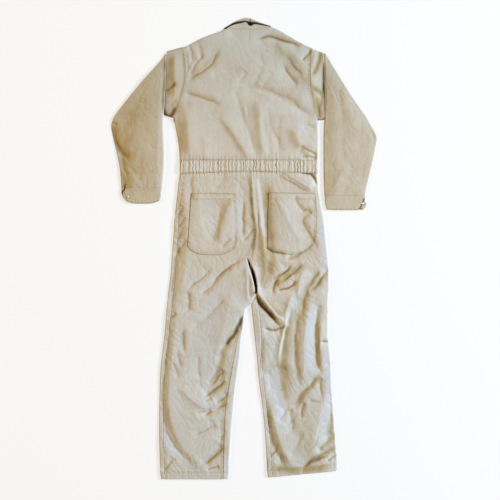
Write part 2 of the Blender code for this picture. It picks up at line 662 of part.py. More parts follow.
def head_row(point, inner, side):
    """Points of a sleeve head: armhole seam, down beside the arm, back underneath to the armhole."""
    seam_x, y, seam_z = point
    closed = seam_z < LEAST + 1
    start = max(seam_z, LEAST)
    seam = (seam_x + side * SEAM_GAP, y)
    edge = (inner[0] - side * WALL / 2, inner[1])
    low = LEAST + (0 if closed else HEAD_LIFT)
    row = []
    for share in spread(0, 1, 6)[:-1]:
        x = seam[0] + (edge[0] - side * HEAD_ROLL - seam[0]) * share
        at_y = seam[1] + (edge[1] - seam[1]) * share
        fold = 0 if closed else (head_height(x, at_y) - TOP) * math.sin(math.pi * share)
        row.append((x, at_y, max(start + (low - start) * smoothstep(share) + fold, LEAST)))
    for arc in spread(ARC, UNDER, 4):
        x, z = rolled_edge(edge[0], side, arc, y, lambda x, at_y: low, HEAD_ROLL)
        row.append((x, edge[1], z))
    end = seam_x + side * 1.4 if closed else seam_x - side * (ARMHOLE_INSET - 1.4)
    for share in (0.5, 1.0):
        row.append((row[8][0] + (end - row[8][0]) * share, edge[1] + (y - edge[1]) * share, FLAT))
    return row


def add_heads():
    rims = body_rims()
    for name, side, table, (high, low) in (
        ("left", -1, LEFT_ARM, LEFT_HEAD_ENDS), ("right", 1, RIGHT_ARM, RIGHT_HEAD_ENDS),
    ):
        line = body_side(side)
        underarm = (BACK_LEFT_SIDE if side < 0 else BACK_RIGHT_SIDE)[-1][1]
        armhole = [back_point(rims, *along(line, share)) for share in BACK_UP]
        armhole = [point for point in armhole[::-1] if point[1] > underarm]
        beside = [(section.inner - side * ARM_GAP, section.y) for section in table if low < section.y < high]
        inner = [(beside[0][0], high), *beside, (beside[-1][0], low)]
        top, bottom = armhole[0][1], armhole[-1][1]
        rows = [head_row(point, along(inner, (top - point[1]) / (top - bottom)), side) for point in armhole]
        add_cloth(f"sleeve_{name}_head", rows if side > 0 else [row[::-1] for row in rows])


def cuff_row(section, side, height):
    """Points round a cuff, from one side of its slit to the other."""
    outer, inner = section.outer - side * WALL / 2, section.inner + side * WALL / 2
    slit = outer - side * CUFF_SLIT
    y = section.y
    steps = spread(UNDER, ARC, 5)
    outer_turn = [rolled_edge(outer, side, arc, y, height) for arc in reversed(steps)]
    inner_turn = [rolled_edge(inner, -side, arc, y, height) for arc in steps]
    under = [(x, FLAT) for x in spread(outer_turn[-1][0], inner_turn[0][0], 5)[1:-1]]
    top = [(x, height(x, y)) for x in spread(inner_turn[-1][0], slit - side * SEAM_GAP, 6)[1:]]
    across = [(slit + side * SEAM_GAP, height(slit, y)), *outer_turn, *under, *inner_turn, *top]
    middle, half = (outer + inner) / 2, abs(outer - inner) / 2
    return [(x, y + section.sag * ((x - middle) / half) ** 4, z) for x, z in across]


def add_cuffs():
    def level(x, y):
        return SLEEVE_TOP

    for name, side, table in (("left", -1, LEFT_CUFF), ("right", 1, RIGHT_CUFF)):
        rows = [cuff_row(section, side, level) for section in table]
        add_cloth(f"cuff_{name}", rows if side < 0 else [row[::-1] for row in rows])


def add_snaps():
    """Round snap caps on the cuffs."""
    for name, (x, y) in (("snap_left", LEFT_SNAP), ("snap_right", RIGHT_SNAP)):
        mesh = bmesh.new()
        bmesh.ops.create_cone(
            mesh, cap_ends=True, segments=20, radius1=SNAP_WIDTH / 2 * MM,
            radius2=(SNAP_WIDTH / 2 - SNAP_BEVEL) * MM, depth=SNAP_DEPTH * MM,
        )
        bottom = SLEEVE_TOP + WALL / 2 + SEAM_GAP
        bmesh.ops.translate(mesh, verts=mesh.verts, vec=Vector((x, y, bottom + SNAP_DEPTH / 2)) * MM)
        add_object(name, mesh, PEARL, 0.3)


def add_collar():
    """A stand from the centre front round the neck to the centre front again.

    Its front half lies flat underneath, and its back half lies over the back neck.
    """
    line = neck_line()

    def neck(share):
        x, y = along(line, share)
        return x, y + COLLAR_GAP

    low = 761.5
    rings = [
        Ring((CENTRE - 1, low), FLAT, (CENTRE - 1, 806.5), 2.6),
        Ring((7, low), FLAT, (5.5, 808), 3.0),
        Ring((-28, 761), FLAT, (-21, 796.5), 3.0),
        Ring((-49, 759.5), FLAT, (-51, 777.5), 2.8),
        Ring((-68, 766), 3.0, (-68.5, 768.5), 4.2),
        Ring(neck(0.09), 6.6, (-63, 769.5), 7.4),
        Ring(neck(0.15), TOP, (-44, 776.5), 7.8),
        Ring(neck(0.36), TOP, (-10.5, 784), 7.6),
        Ring(neck(0.54), TOP, (17.5, 784.5), 7.2),
        Ring(neck(0.70), TOP, (44, 781), 7.6),
        Ring(neck(0.86), TOP, (70, 779), 7.8),
        Ring(neck(0.93), 6.6, (85.5, 777.5), 7.4),
        Ring((89, 776.5), 3.0, (92.5, 779.5), 4.2),
        Ring((70, 763.5), FLAT, (75.5, 784.5), 2.8),
        Ring((49, low), FLAT, (47, 793), 3.0),
        Ring((CENTRE + 2, low), FLAT, (CENTRE + 2, 804), 3.0),
    ]
    seam = smooth_line([(*ring.seam, ring.seam_z) for ring in rings], 2)
    free = smooth_line([(*ring.free, ring.free_z) for ring in rings], 2)
    rows = [
        [
            (x + (free_x - x) * share, y + (free_y - y) * share, max(z + (free_z - z) * share ** 3, FLAT))
            for (x, y, z), (free_x, free_y, free_z) in zip(seam, free)
        ]
        for share in (0.0, 0.25, 1.0)
    ]
    add_cloth("collar", rows)


def add_pockets():
    """Patch pockets: the back leg's own surface inside the pocket's outline, moved out."""
    for name, panel, outline in (
        ("pocket_left", "leg_back_left", LEFT_POCKET),
        ("pocket_right", "leg_back_right", RIGHT_POCKET),
    ):
        mesh = bmesh.new()
        mesh.from_mesh(bpy.data.objects[panel].data)
        mesh.normal_update()
        lift = (WALL / 2 + SEAM_GAP + POCKET_WALL / 2) * MM
        for vertex in mesh.verts:
            vertex.co += vertex.normal * lift
        for (ax, ay), (bx, by) in zip(outline, [*outline[1:], outline[0]]):
            bmesh.ops.bisect_plane(
                mesh, geom=[*mesh.verts, *mesh.edges, *mesh.faces],
                plane_co=Vector((ax, ay, 0)) * MM, plane_no=Vector((ay - by, bx - ax, 0)), clear_outer=True,
            )
        add_wall(add_object(name, mesh), POCKET_WALL)


def main():
    for old in list(bpy.data.objects):
        bpy.data.objects.remove(old, do_unlink=True)
    collection = bpy.data.collections.new(COLLECTION)
    bpy.context.scene.collection.children.link(collection)
    add_back()
    add_fronts()
    add_waistband_back()
    add_legs()
    add_pockets()
    add_heads()
    add_arms()
    add_cuffs()
    add_snaps()
    add_collar()


main()
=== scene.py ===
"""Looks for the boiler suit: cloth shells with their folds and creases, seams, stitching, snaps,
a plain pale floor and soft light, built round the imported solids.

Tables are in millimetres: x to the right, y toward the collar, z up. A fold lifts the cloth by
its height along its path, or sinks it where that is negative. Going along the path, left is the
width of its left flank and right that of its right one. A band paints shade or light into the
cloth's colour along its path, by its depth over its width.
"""

import json
import math
from collections import namedtuple

import bmesh
import bpy
import numpy as np
from bpy.props import FloatProperty, FloatVectorProperty, PointerProperty
from mathutils import Matrix, Vector
from mathutils.bvhtree import BVHTree

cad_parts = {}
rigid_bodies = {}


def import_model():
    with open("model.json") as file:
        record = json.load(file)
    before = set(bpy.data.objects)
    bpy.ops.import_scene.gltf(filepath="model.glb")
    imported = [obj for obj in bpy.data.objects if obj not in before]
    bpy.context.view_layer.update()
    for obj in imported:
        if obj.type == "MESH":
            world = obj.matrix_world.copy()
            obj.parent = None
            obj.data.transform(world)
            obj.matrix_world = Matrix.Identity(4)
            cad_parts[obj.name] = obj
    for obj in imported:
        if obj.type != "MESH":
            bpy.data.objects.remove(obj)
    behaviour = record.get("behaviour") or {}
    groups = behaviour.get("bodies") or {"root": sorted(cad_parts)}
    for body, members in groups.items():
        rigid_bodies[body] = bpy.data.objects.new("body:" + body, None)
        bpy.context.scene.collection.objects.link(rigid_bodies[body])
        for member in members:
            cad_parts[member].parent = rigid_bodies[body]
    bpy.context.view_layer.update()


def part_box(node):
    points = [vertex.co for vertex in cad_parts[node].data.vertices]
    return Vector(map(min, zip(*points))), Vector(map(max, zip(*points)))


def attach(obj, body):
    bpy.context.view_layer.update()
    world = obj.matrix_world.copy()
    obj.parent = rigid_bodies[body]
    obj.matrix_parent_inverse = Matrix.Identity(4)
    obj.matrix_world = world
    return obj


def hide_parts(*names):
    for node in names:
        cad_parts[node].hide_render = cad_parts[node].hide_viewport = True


bl_info = {
    "name": "Boiler suit laid flat",
    "version": (1, 0, 0),
    "blender": (4, 5, 0),
    "location": "View3D > Sidebar > Boiler suit",
    "description": "Cloth, seams, stitching and stage for a boiler suit laid out flat",
    "category": "Object",
}

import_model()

MM = 0.001

# The cloth's outer face and its edges.
TOP = 11.4  # height of the upper layer where no fold lifts it
SLEEVE_TOP = 8.6
MOST = 22.4  # highest and lowest that an upper layer goes
LEAST = 2.4
ROLL = 4.3  # how far in an edge rolls over, seen from above
ARC = 6.2  # length of cloth from a rolled edge's outermost line to the top of the roll
UNDER = -ARC  # where a rolled edge has come down to the surface
GAP_ARC = -1.6  # where the edges of the crotch opening come down on the lower layer
LOWEST_SEAM = -1.2  # lowest place of a leg's seam on its rolled edge
RIM_ROLL = 6.0  # the roll at the sides and shoulders of the upper back
RIM_END = 1.2  # height that it comes down to
HEAD_ROLL = 1.8  # the roll where a sleeve head folds down
HEAD_CLEAR = 0.6  # between that fold and the arm
HEAD_LEAST = 2.0
EDGE_SINK = 2.4  # how much lower the cloth lies at an edge
EDGE_REACH = 15.0
UNDER_INSET = 2.4  # how far the lower layer keeps inside the upper one
ARMHOLE_INSET = 3.6
SHOULDER_INSET = (4, 4.5)

# Places and widths.
CENTRE = 24  # centre line of the suit
WAIST_TOP = 308
WAIST_SEAM = 268
WAIST_FALL = 0.031  # how the waist seam falls away from the centre line
LEFT_INSEAM_TOP = -248.5
RIGHT_INSEAM_TOP = -175
SEAM_GAP = 0.3
PLACKET_WIDTH = 36.0
HEM_DEPTH = 24
POCKET_HEM = 25
CUFF_SLIT = 11.0  # from a cuff's outer edge to the middle of its slit
SLIT_HALF = 0.4
CUFF_CLOTH = 1.1  # thickness where the cloth is doubled
COLLAR_CLOTH = 1.2

# Spacing and number of the points of the cloth's own mesh.
STEP = 3.1
POCKET_STEP = 2.8
CUFF_STEP = 2.4
COLLAR_STEPS = 7
LEG_COLUMNS = 92
HEAD_COLUMNS = 26
SIDE_STEPS = 15
SIDE_REACH = 36  # how far in from a front leg's sides its points are closer
SEAM_STEPS = (0, 0.7, 1.6, 2.8, 4.2, 6.0, 8.4, 11.2)
EDGE_STEPS = (0.0, 0.25, 0.8, 1.8, 3.2, 5.0, 7.5)

# How folds, bands and creases are drawn. A fade is the share of a path over which each end of it
# dies away, and a reach is how many widths off its last trace is.
PATH_STEPS = 5
FOLD_SHARP = 1.25  # 1 is a sharp ridge, 2 a round one
FOLD_REACH = 2.6
FOLD_FADE = 0.2
BAND_REACH = 2.4
BAND_FADE = 0.22
CREASE_FADE = 0.3
CREASE_WIDTH = 3.0
CREASE_FLANK = 8  # widest flank of a sharp crease
CREASE_BLUNT = 5  # a flank this much wider leaves no painted dark line
CREASE_LEAST = 1.5  # depth of the shallowest fold with a painted dark line
CREASE_FULL = 4.2  # depth from which the painted line is darkest
WANDER = 2.2
WANDER_SIZE = 24
BODY_SEED = 31
NOISE_CELLS = 64
NOISE_START = 100
CRUMPLES = {"soft": (60, 110), "bend": (30, 30), "crease": (26, 60), "cross": (18, 44), "patch": (70, 90)}
GATHER_PITCH = 12.6
GATHER_SEED = 3
SINK_REACH = 6

Fold = namedtuple("Fold", "height left right path")
Band = namedtuple("Band", "depth width path")
Seam = namedtuple("Seam", "name pieces path rows")
Row = namedtuple("Row", "y left left_arc right right_arc tilt", defaults=(UNDER, 0))
Section = namedtuple("Section", "y outer inner")
Cuff = namedtuple("Cuff", "y outer inner sag")
Ring = namedtuple("Ring", "seam seam_z free free_z")
Waist = namedtuple("Waist", "gather reach puff puff_at puff_width sink")
Cut = namedtuple("Cut", "width length area")

# The body beside its waistband: height and reach of the gathers, height, place and width of the
# puff past them, and how deep the seam sinks.
ABOVE_WAIST = Waist(1.5, 20, 3.2, 17, 13, 2.4)
BELOW_WAIST = Waist(1.3, 16, 1.6, 14, 10, 1.8)

# Paths run toward the collar or to the right.
BODY_FOLDS = [
    # upper back, left half
    Fold(-2.5, 26, 9, [(-203, 574), (-171.5, 602), (-136.5, 623), (-112, 644), (-98, 672), (-80.5, 703.5)]),
    Fold(2.2, 26, 26, [(-168, 724.5), (-129.5, 736.5), (-84, 751), (-42, 759.5)]),
    Fold(-2.3, 8, 26, [(-217, 546), (-182, 537.5), (-150.5, 527), (-119, 516.5), (-77, 497)]),
    Fold(1.4, 19, 16, [(-203, 553), (-140, 540.5), (-77, 521.5)]),
    Fold(5.5, 34, 60, [(-185.5, 304.5), (-189, 350), (-194.5, 406), (-203, 455), (-219, 504)]),
    Fold(-4.0, 23, 26, [(-227.5, 304.5), (-229, 357), (-234.5, 406), (-234.5, 462)]),
    Fold(1.8, 12, 26, [(-133, 287), (-135, 343), (-141.5, 399)]),
    Fold(3.4, 10, 34, [(21, 301), (0, 339.5), (-22.5, 371), (-43.5, 406), (-65, 435.5), (-94.5, 465.5)]),
    Fold(-1.8, 14, 17, [(-122.5, 602), (-84, 612.5), (-42, 621.5), (-7, 621)]),
    Fold(-1.4, 17, 7, [(-21, 581), (-3.5, 598.5), (10.5, 619.5)]),
    Fold(-1.5, 11, 6, [(-182, 651), (-180.5, 679), (-194, 710.5)]),
    Fold(-1.3, 11, 6, [(-154, 658), (-150.5, 686), (-162.5, 714)]),
    Fold(-1.6, 13, 6, [(-189, 595), (-168, 644), (-136.5, 682.5)]),
    Fold(-1.3, 11, 5, [(-199.5, 616), (-189, 644), (-164.5, 672)]),
    Fold(-1.2, 11, 6, [(-204.5, 588), (-197.5, 644), (-206.5, 693)]),
    # upper back, middle
    Fold(-0.4, 8, 4, [(15.5, 700), (17, 742), (17, 773.5)]),
    Fold(-1.2, 19, 8, [(7, 420), (-10.5, 476), (-22.5, 525), (-28, 563.5)]),
    Fold(1.3, 9, 17, [(21, 406), (9, 455), (-1.5, 504)]),
    Fold(-1.9, 23, 14, [(52.5, 304.5), (35, 350), (17.5, 399), (12.5, 455), (10.5, 511)]),
    Fold(2.5, 22, 23, [(84, 304.5), (66.5, 350), (58, 406), (54.5, 462), (42, 525)]),
    Fold(-1.0, 19, 8, [(94.5, 308), (86, 364), (71.5, 420), (66.5, 476)]),
    Fold(-1.3, 26, 9, [(143.5, 322), (122.5, 364), (98, 413), (86, 462), (84, 497)]),
    Fold(-1.0, 17, 7, [(126, 308), (121, 350), (119, 406), (122.5, 476)]),
    Fold(-1.2, 23, 8, [(31.5, 563.5), (47.5, 598.5), (68, 633.5)]),
    Fold(-1.0, 15, 7, [(73.5, 633.5), (61.5, 654.5), (49, 682.5)]),
    Fold(-0.9, 19, 7, [(63, 563.5), (82.5, 591.5), (101.5, 616)]),
    # upper back, right half
    Fold(-3.3, 7, 23, [
        (28, 721), (56, 733.5), (84, 740), (108.5, 737), (136.5, 724.5), (168, 717), (210, 703.5),
    ]),
    Fold(4.8, 17, 40, [(248.5, 546), (220.5, 584.5), (192.5, 618), (164.5, 651), (140, 686), (108.5, 728)]),
    Fold(-2.6, 26, 8, [(206.5, 598.5), (177, 633.5), (157.5, 661.5), (142, 679)]),
    Fold(-2.2, 23, 7, [(192.5, 567), (169.5, 591.5), (150.5, 617.5), (135, 644)]),
    Fold(-2.8, 13, 6, [(199.5, 651), (217, 670), (236, 696.5)]),
    Fold(-3.8, 13, 26, [
        (-42, 572), (21, 569), (63, 558), (126, 533.5), (164.5, 514.5), (199.5, 483), (252, 448),
    ]),
    Fold(1.6, 10, 9, [(-24.5, 561.5), (21, 556.5), (66.5, 539), (112, 521.5)]),
    Fold(3.4, 16, 26, [(245, 318.5), (210, 348), (185.5, 381.5), (171.5, 423.5)]),
    Fold(-3.6, 8, 23, [(192.5, 360.5), (224, 343), (262.5, 323.5)]),
    Fold(-2.6, 7, 15, [(196, 317), (227.5, 320.5), (262.5, 313.5)]),
    Fold(-1.6, 6, 13, [(199.5, 420), (220.5, 429), (252, 421.5)]),
    Fold(3.0, 60, 50, [(196, 343), (189, 413), (196, 483)]),
    # hips and the left pocket
    Fold(-3.0, 19, 22, [(-257, -245), (-253.5, -182), (-248.5, -98), (-238, -21), (-220.5, 28)]),
    Fold(3.0, 24, 40, [(-220.5, -182), (-210, -98), (-199.5, -7), (-199.5, 98), (-206.5, 217)]),
    Fold(-2.4, 19, 10, [(-241.5, -28), (-224, -2), (-196, 29.5)]),
    Fold(-2.0, 17, 9, [(-245, 105), (-227.5, 120.5), (-210, 147)]),
    Fold(-1.8, 17, 8, [(-234.5, 70), (-217, 87.5), (-203, 112)]),
    Fold(-1.8, 17, 8, [(-238, 21), (-220.5, 49), (-210, 77)]),
    Fold(-1.6, 17, 8, [(-178.5, 154), (-183.5, 210), (-183.5, 266)]),
    Fold(2.4, 24, 30, [(-140, 14), (-154, 77), (-157.5, 154), (-154, 224)]),
    Fold(4.0, 18, 26, [(-96, 7), (-82.5, 63), (-68, 112), (-52.5, 152), (-28, 185.5)]),
    Fold(-1.9, 36, 12, [(-112, 14), (-94.5, 73.5), (-80.5, 126), (-68.5, 164.5)]),
    Fold(-1.6, 17, 8, [(-80.5, 0), (-63, 14), (-45.5, 35)]),
    Fold(-1.4, 23, 10, [(-105, 196), (-84, 224), (-63, 262.5)]),
    Fold(-2.4, 23, 6, [(-1.5, 28), (-4, 98), (-1.5, 171.5)]),
    Fold(-1.8, 11, 6, [(-7, 19), (16, 43.5), (38.5, 70)]),
    # seat
    Fold(2.8, 20, 15, [(40.5, 42), (33.5, 119), (26.5, 196), (21, 269.5)]),
    Fold(3.4, 9, 26, [(73.5, -70), (71.5, -14), (66, 35), (58, 98), (54, 150.5), (47, 203), (40.5, 262.5)]),
    Fold(-4.4, 23, 32, [(84, -49), (82, 7), (75.5, 63), (68, 126), (61.5, 185.5), (56, 266)]),
    Fold(2.8, 34, 11, [(77, -77), (72, -24.5), (66.5, 28)]),
    Fold(2.0, 44, 40, [(168, 7), (140, 91), (119, 168), (98, 245)]),
    Fold(2.0, 12, 26, [(203, 7), (178.5, 52.5), (156, 91), (138.5, 133), (112, 175)]),
    Fold(3.8, 28, 7, [(122.5, 274.5), (161, 250.5), (196, 229.5), (245, 199.5)]),
    Fold(-5.5, 6, 13, [(189, 273), (226, 260.5), (247, 243), (266, 210)]),
    Fold(-1.9, 26, 9, [(262.5, -21), (243, 28), (218.5, 66.5), (208, 94.5), (220.5, 119), (236, 147)]),
    Fold(-1.8, 17, 7, [(213.5, 119), (192.5, 150.5), (177, 189)]),
    Fold(-1.8, 15, 7, [(238, 119), (219, 134.5), (205, 122.5)]),
    Fold(-3.4, 11, 14, [(143.5, -38.5), (175, -29.5), (206.5, -15.5), (241.5, 8.5)]),
    Fold(-3.2, 7, 15, [(75.5, 10.5), (86, -5.5), (108.5, -15.5), (147, -21)]),
    Fold(-5.0, 23, 22, [(52.5, -161), (63, -122.5), (75.5, -80.5), (84, -35)]),
    Fold(-3.8, 23, 9, [(98, -175), (103.5, -136.5), (121, -103.5), (149, -82), (168, -49)]),
    Fold(-2.8, 15, 9, [(126, -122.5), (161, -98), (185.5, -78.5), (206.5, -52.5)]),
    Fold(-3.2, 13, 10, [(108.5, -149), (143.5, -143), (168, -131), (185.5, -108.5)]),
    Fold(2.4, 8, 17, [(112, -126), (143.5, -112), (175, -94.5)]),
    Fold(2.6, 10, 26, [(196, -189), (189, -147), (196, -105), (217, -70)]),
    # crotch opening: the right leg's fold stands over it
    Fold(5.5, 30, 8, [(164.5, -290.5), (140, -260.5), (91, -205), (47.5, -147), (38, -84), (17.5, -45.5)]),
    Fold(-5.0, 15, 7, [(129.5, -280), (87.5, -231), (52.5, -192.5), (31.5, -147)]),
    Fold(-2.4, 11, 8, [(26, -189), (21, -147), (15.5, -91)]),
    Fold(2.8, 7, 17, [(12, -192.5), (9, -126), (7, -56)]),
    Fold(-3.4, 26, 9, [
        (-171.5, -178.5), (-133, -152.5), (-108.5, -129.5), (-91, -101.5), (-56, -72), (-24.5, -50.5),
        (10.5, -35),
    ]),
    # right leg
    Fold(-4.4, 26, 11, [(203, -238), (208.5, -192.5), (222.5, -150.5), (243.5, -110), (269.5, -70)]),
    Fold(-3.6, 17, 9, [(224, -154), (255.5, -133), (276.5, -101.5), (297.5, -59.5)]),
    Fold(-4.0, 6, 15, [(65, -280), (98, -289), (126, -282), (147, -266)]),
    Fold(4.6, 10, 17, [(119, -420), (124, -357), (135, -294), (143.5, -248.5), (154, -196), (178.5, -147)]),
    Fold(-6.2, 25, 32, [(133, -413), (136.5, -357), (147, -297.5), (159.5, -245), (171.5, -192.5)]),
    Fold(-6.6, 44, 30, [(149, -581), (142, -518), (134.5, -462), (131.5, -399)]),
    Fold(-2.6, 15, 24, [
        (199.5, -504), (187.5, -441), (176.5, -374.5), (180.5, -301), (192.5, -231), (206.5, -175),
    ]),
    Fold(3.6, 26, 30, [(206.5, -483), (208.5, -399), (210, -322), (220.5, -245), (238, -175)]),
    Fold(-4.6, 28, 15, [
        (264, -462), (256, -402.5), (250.5, -343), (248, -290.5), (255.5, -227.5), (273, -175),
    ]),
    Fold(3.2, 14, 26, [(275, -455), (269.5, -378), (266, -308), (273, -245)]),
    Fold(-4.0, 6, 15, [(268, -324), (301, -327)]),
    Fold(-3.0, 11, 7, [(259, -434), (280, -423), (308, -402.5)]),
    Fold(-3.8, 23, 11, [(173.5, -574), (188.5, -535.5), (201, -507.5), (232.5, -481.5), (266, -441)]),
    Fold(-2.6, 19, 8, [(278.5, -542.5), (270, -500.5), (266, -448)]),
    Fold(-1.8, 7, 15, [(220.5, -532), (248.5, -537.5), (280, -532)]),
    Fold(-2.2, 17, 7, [(203, -602), (203, -570.5), (213.5, -539)]),
    Fold(-1.8, 10, 15, [(59.5, -430.5), (87.5, -444.5), (115.5, -472.5)]),
    Fold(-1.8, 8, 15, [(84, -478), (112, -490), (143.5, -502.5)]),
    Fold(-3.4, 17, 8, [(117.5, -609), (136.5, -588), (154, -556.5)]),
    Fold(-3.0, 15, 17, [(157.5, -791), (131.5, -749), (107, -705.5), (90.5, -658), (82, -602), (77, -518)]),
    Fold(3.4, 16, 40, [(175, -784), (149, -728), (126, -675.5), (108.5, -616), (96.5, -546)]),
    Fold(-3.2, 26, 12, [(171.5, -651), (164.5, -602), (159.5, -553)]),
    Fold(-2.2, 26, 14, [(161, -735), (185.5, -686), (199.5, -637)]),
    Fold(-3.2, 36, 13, [(287, -693), (301, -630), (302.5, -553), (299, -483)]),
    Fold(2.8, 24, 26, [(217, -749), (245, -672), (266, -581), (276.5, -483)]),
    Fold(-4.0, 17, 12, [(252, -716), (287, -686.5), (325.5, -653)]),
    Fold(-4.2, 17, 11, [
        (189, -791), (210, -770), (227.5, -748.5), (259, -733.5), (294, -715.5), (329, -689.5),
    ]),
    Fold(-2.6, 11, 8, [(287, -749), (304.5, -738.5), (329, -721)]),
    Fold(-1.8, 19, 9, [(52.5, -420), (59.5, -364), (65, -308)]),
    # left leg
    Fold(-2.6, 15, 20, [
        (-161, -791), (-191, -754.5), (-220.5, -724.5), (-247, -691.5), (-268, -651), (-281.5, -602),
        (-286.5, -532), (-283.5, -462), (-276.5, -392), (-266, -322), (-257, -238),
    ]),
    Fold(2.6, 18, 54, [
        (-136.5, -784), (-171.5, -742), (-208, -703.5), (-236.5, -661.5), (-255.5, -609), (-262.5, -532),
        (-257.5, -448), (-248.5, -357), (-238, -259), (-231, -168),
    ]),
    Fold(-2.2, 11, 6, [(-273, -246.5), (-255.5, -241.5), (-234.5, -229)]),
    Fold(-5.4, 13, 17, [(-78.5, -360.5), (-52.5, -320.5), (-28, -281.5), (0, -224)]),
    Fold(3.4, 44, 15, [(-82, -350), (-56, -304.5), (-26, -255.5), (7, -192.5)]),
    Fold(-3.5, 40, 18, [(-140, -532), (-110, -486.5), (-85.5, -437.5), (-75, -388.5), (-73.5, -346.5)]),
    Fold(3.2, 36, 28, [(-115.5, -455), (-96, -364), (-71.5, -273), (-49, -189), (-38.5, -126)]),
    Fold(-2.7, 26, 8, [(-141.5, -525), (-112, -506), (-91, -486.5), (-59.5, -462)]),
    Fold(-2.8, 19, 7, [(-112, -486.5), (-92.5, -457), (-66.5, -427)]),
    Fold(-2.4, 19, 7, [(-101.5, -546), (-75, -530.5), (-52.5, -507.5)]),
    Fold(-2.6, 26, 8, [(-143.5, -596.5), (-122.5, -577.5), (-94.5, -566.5), (-56, -541)]),
    Fold(-1.8, 15, 6, [(-140, -542.5), (-112, -525)]),
    Fold(-3.0, 26, 9, [(-147, -763), (-113.5, -740), (-85.5, -712.5), (-66.5, -686)]),
    Fold(-2.2, 7, 11, [(-133, -777), (-112, -771.5), (-84, -763)]),
    Fold(-1.8, 23, 9, [(-178.5, -658), (-140, -642), (-94.5, -616)]),
    Fold(-1.6, 17, 7, [(-84, -679), (-63, -633.5)]),
    Fold(-2.6, 26, 12, [(-196, -294), (-157.5, -264.5), (-127.5, -238), (-87.5, -194.5), (-63, -161)]),
    Fold(-1.8, 19, 8, [(-206.5, -371), (-211.5, -325.5), (-210, -273)]),
    Fold(-1.8, 17, 7, [(-217, -420), (-226, -388.5), (-234.5, -357)]),
    Fold(-1.6, 17, 7, [(-154, -462), (-161, -420), (-157.5, -371)]),
    Fold(-1.6, 17, 7, [(-224, -455), (-236, -427), (-248.5, -399)]),
    Fold(2.6, 26, 9, [(-231, -479.5), (-192.5, -521.5), (-157.5, -548), (-115.5, -563.5)]),
    Fold(-2.0, 9, 17, [(-168, -581), (-140, -572), (-112, -567)]),
    Fold(-2.2, 23, 8, [(-196, -231), (-190.5, -189), (-197.5, -143.5)]),
    Fold(-2.2, 21, 8, [(-199.5, -154), (-175, -127.5), (-140, -101.5), (-112, -66.5)]),
    Fold(-2.2, 17, 8, [(-287, -784), (-266, -763), (-241.5, -731.5)]),
    Fold(1.8, 16, 26, [(-42, -777), (-56, -672), (-52.5, -567)]),
]
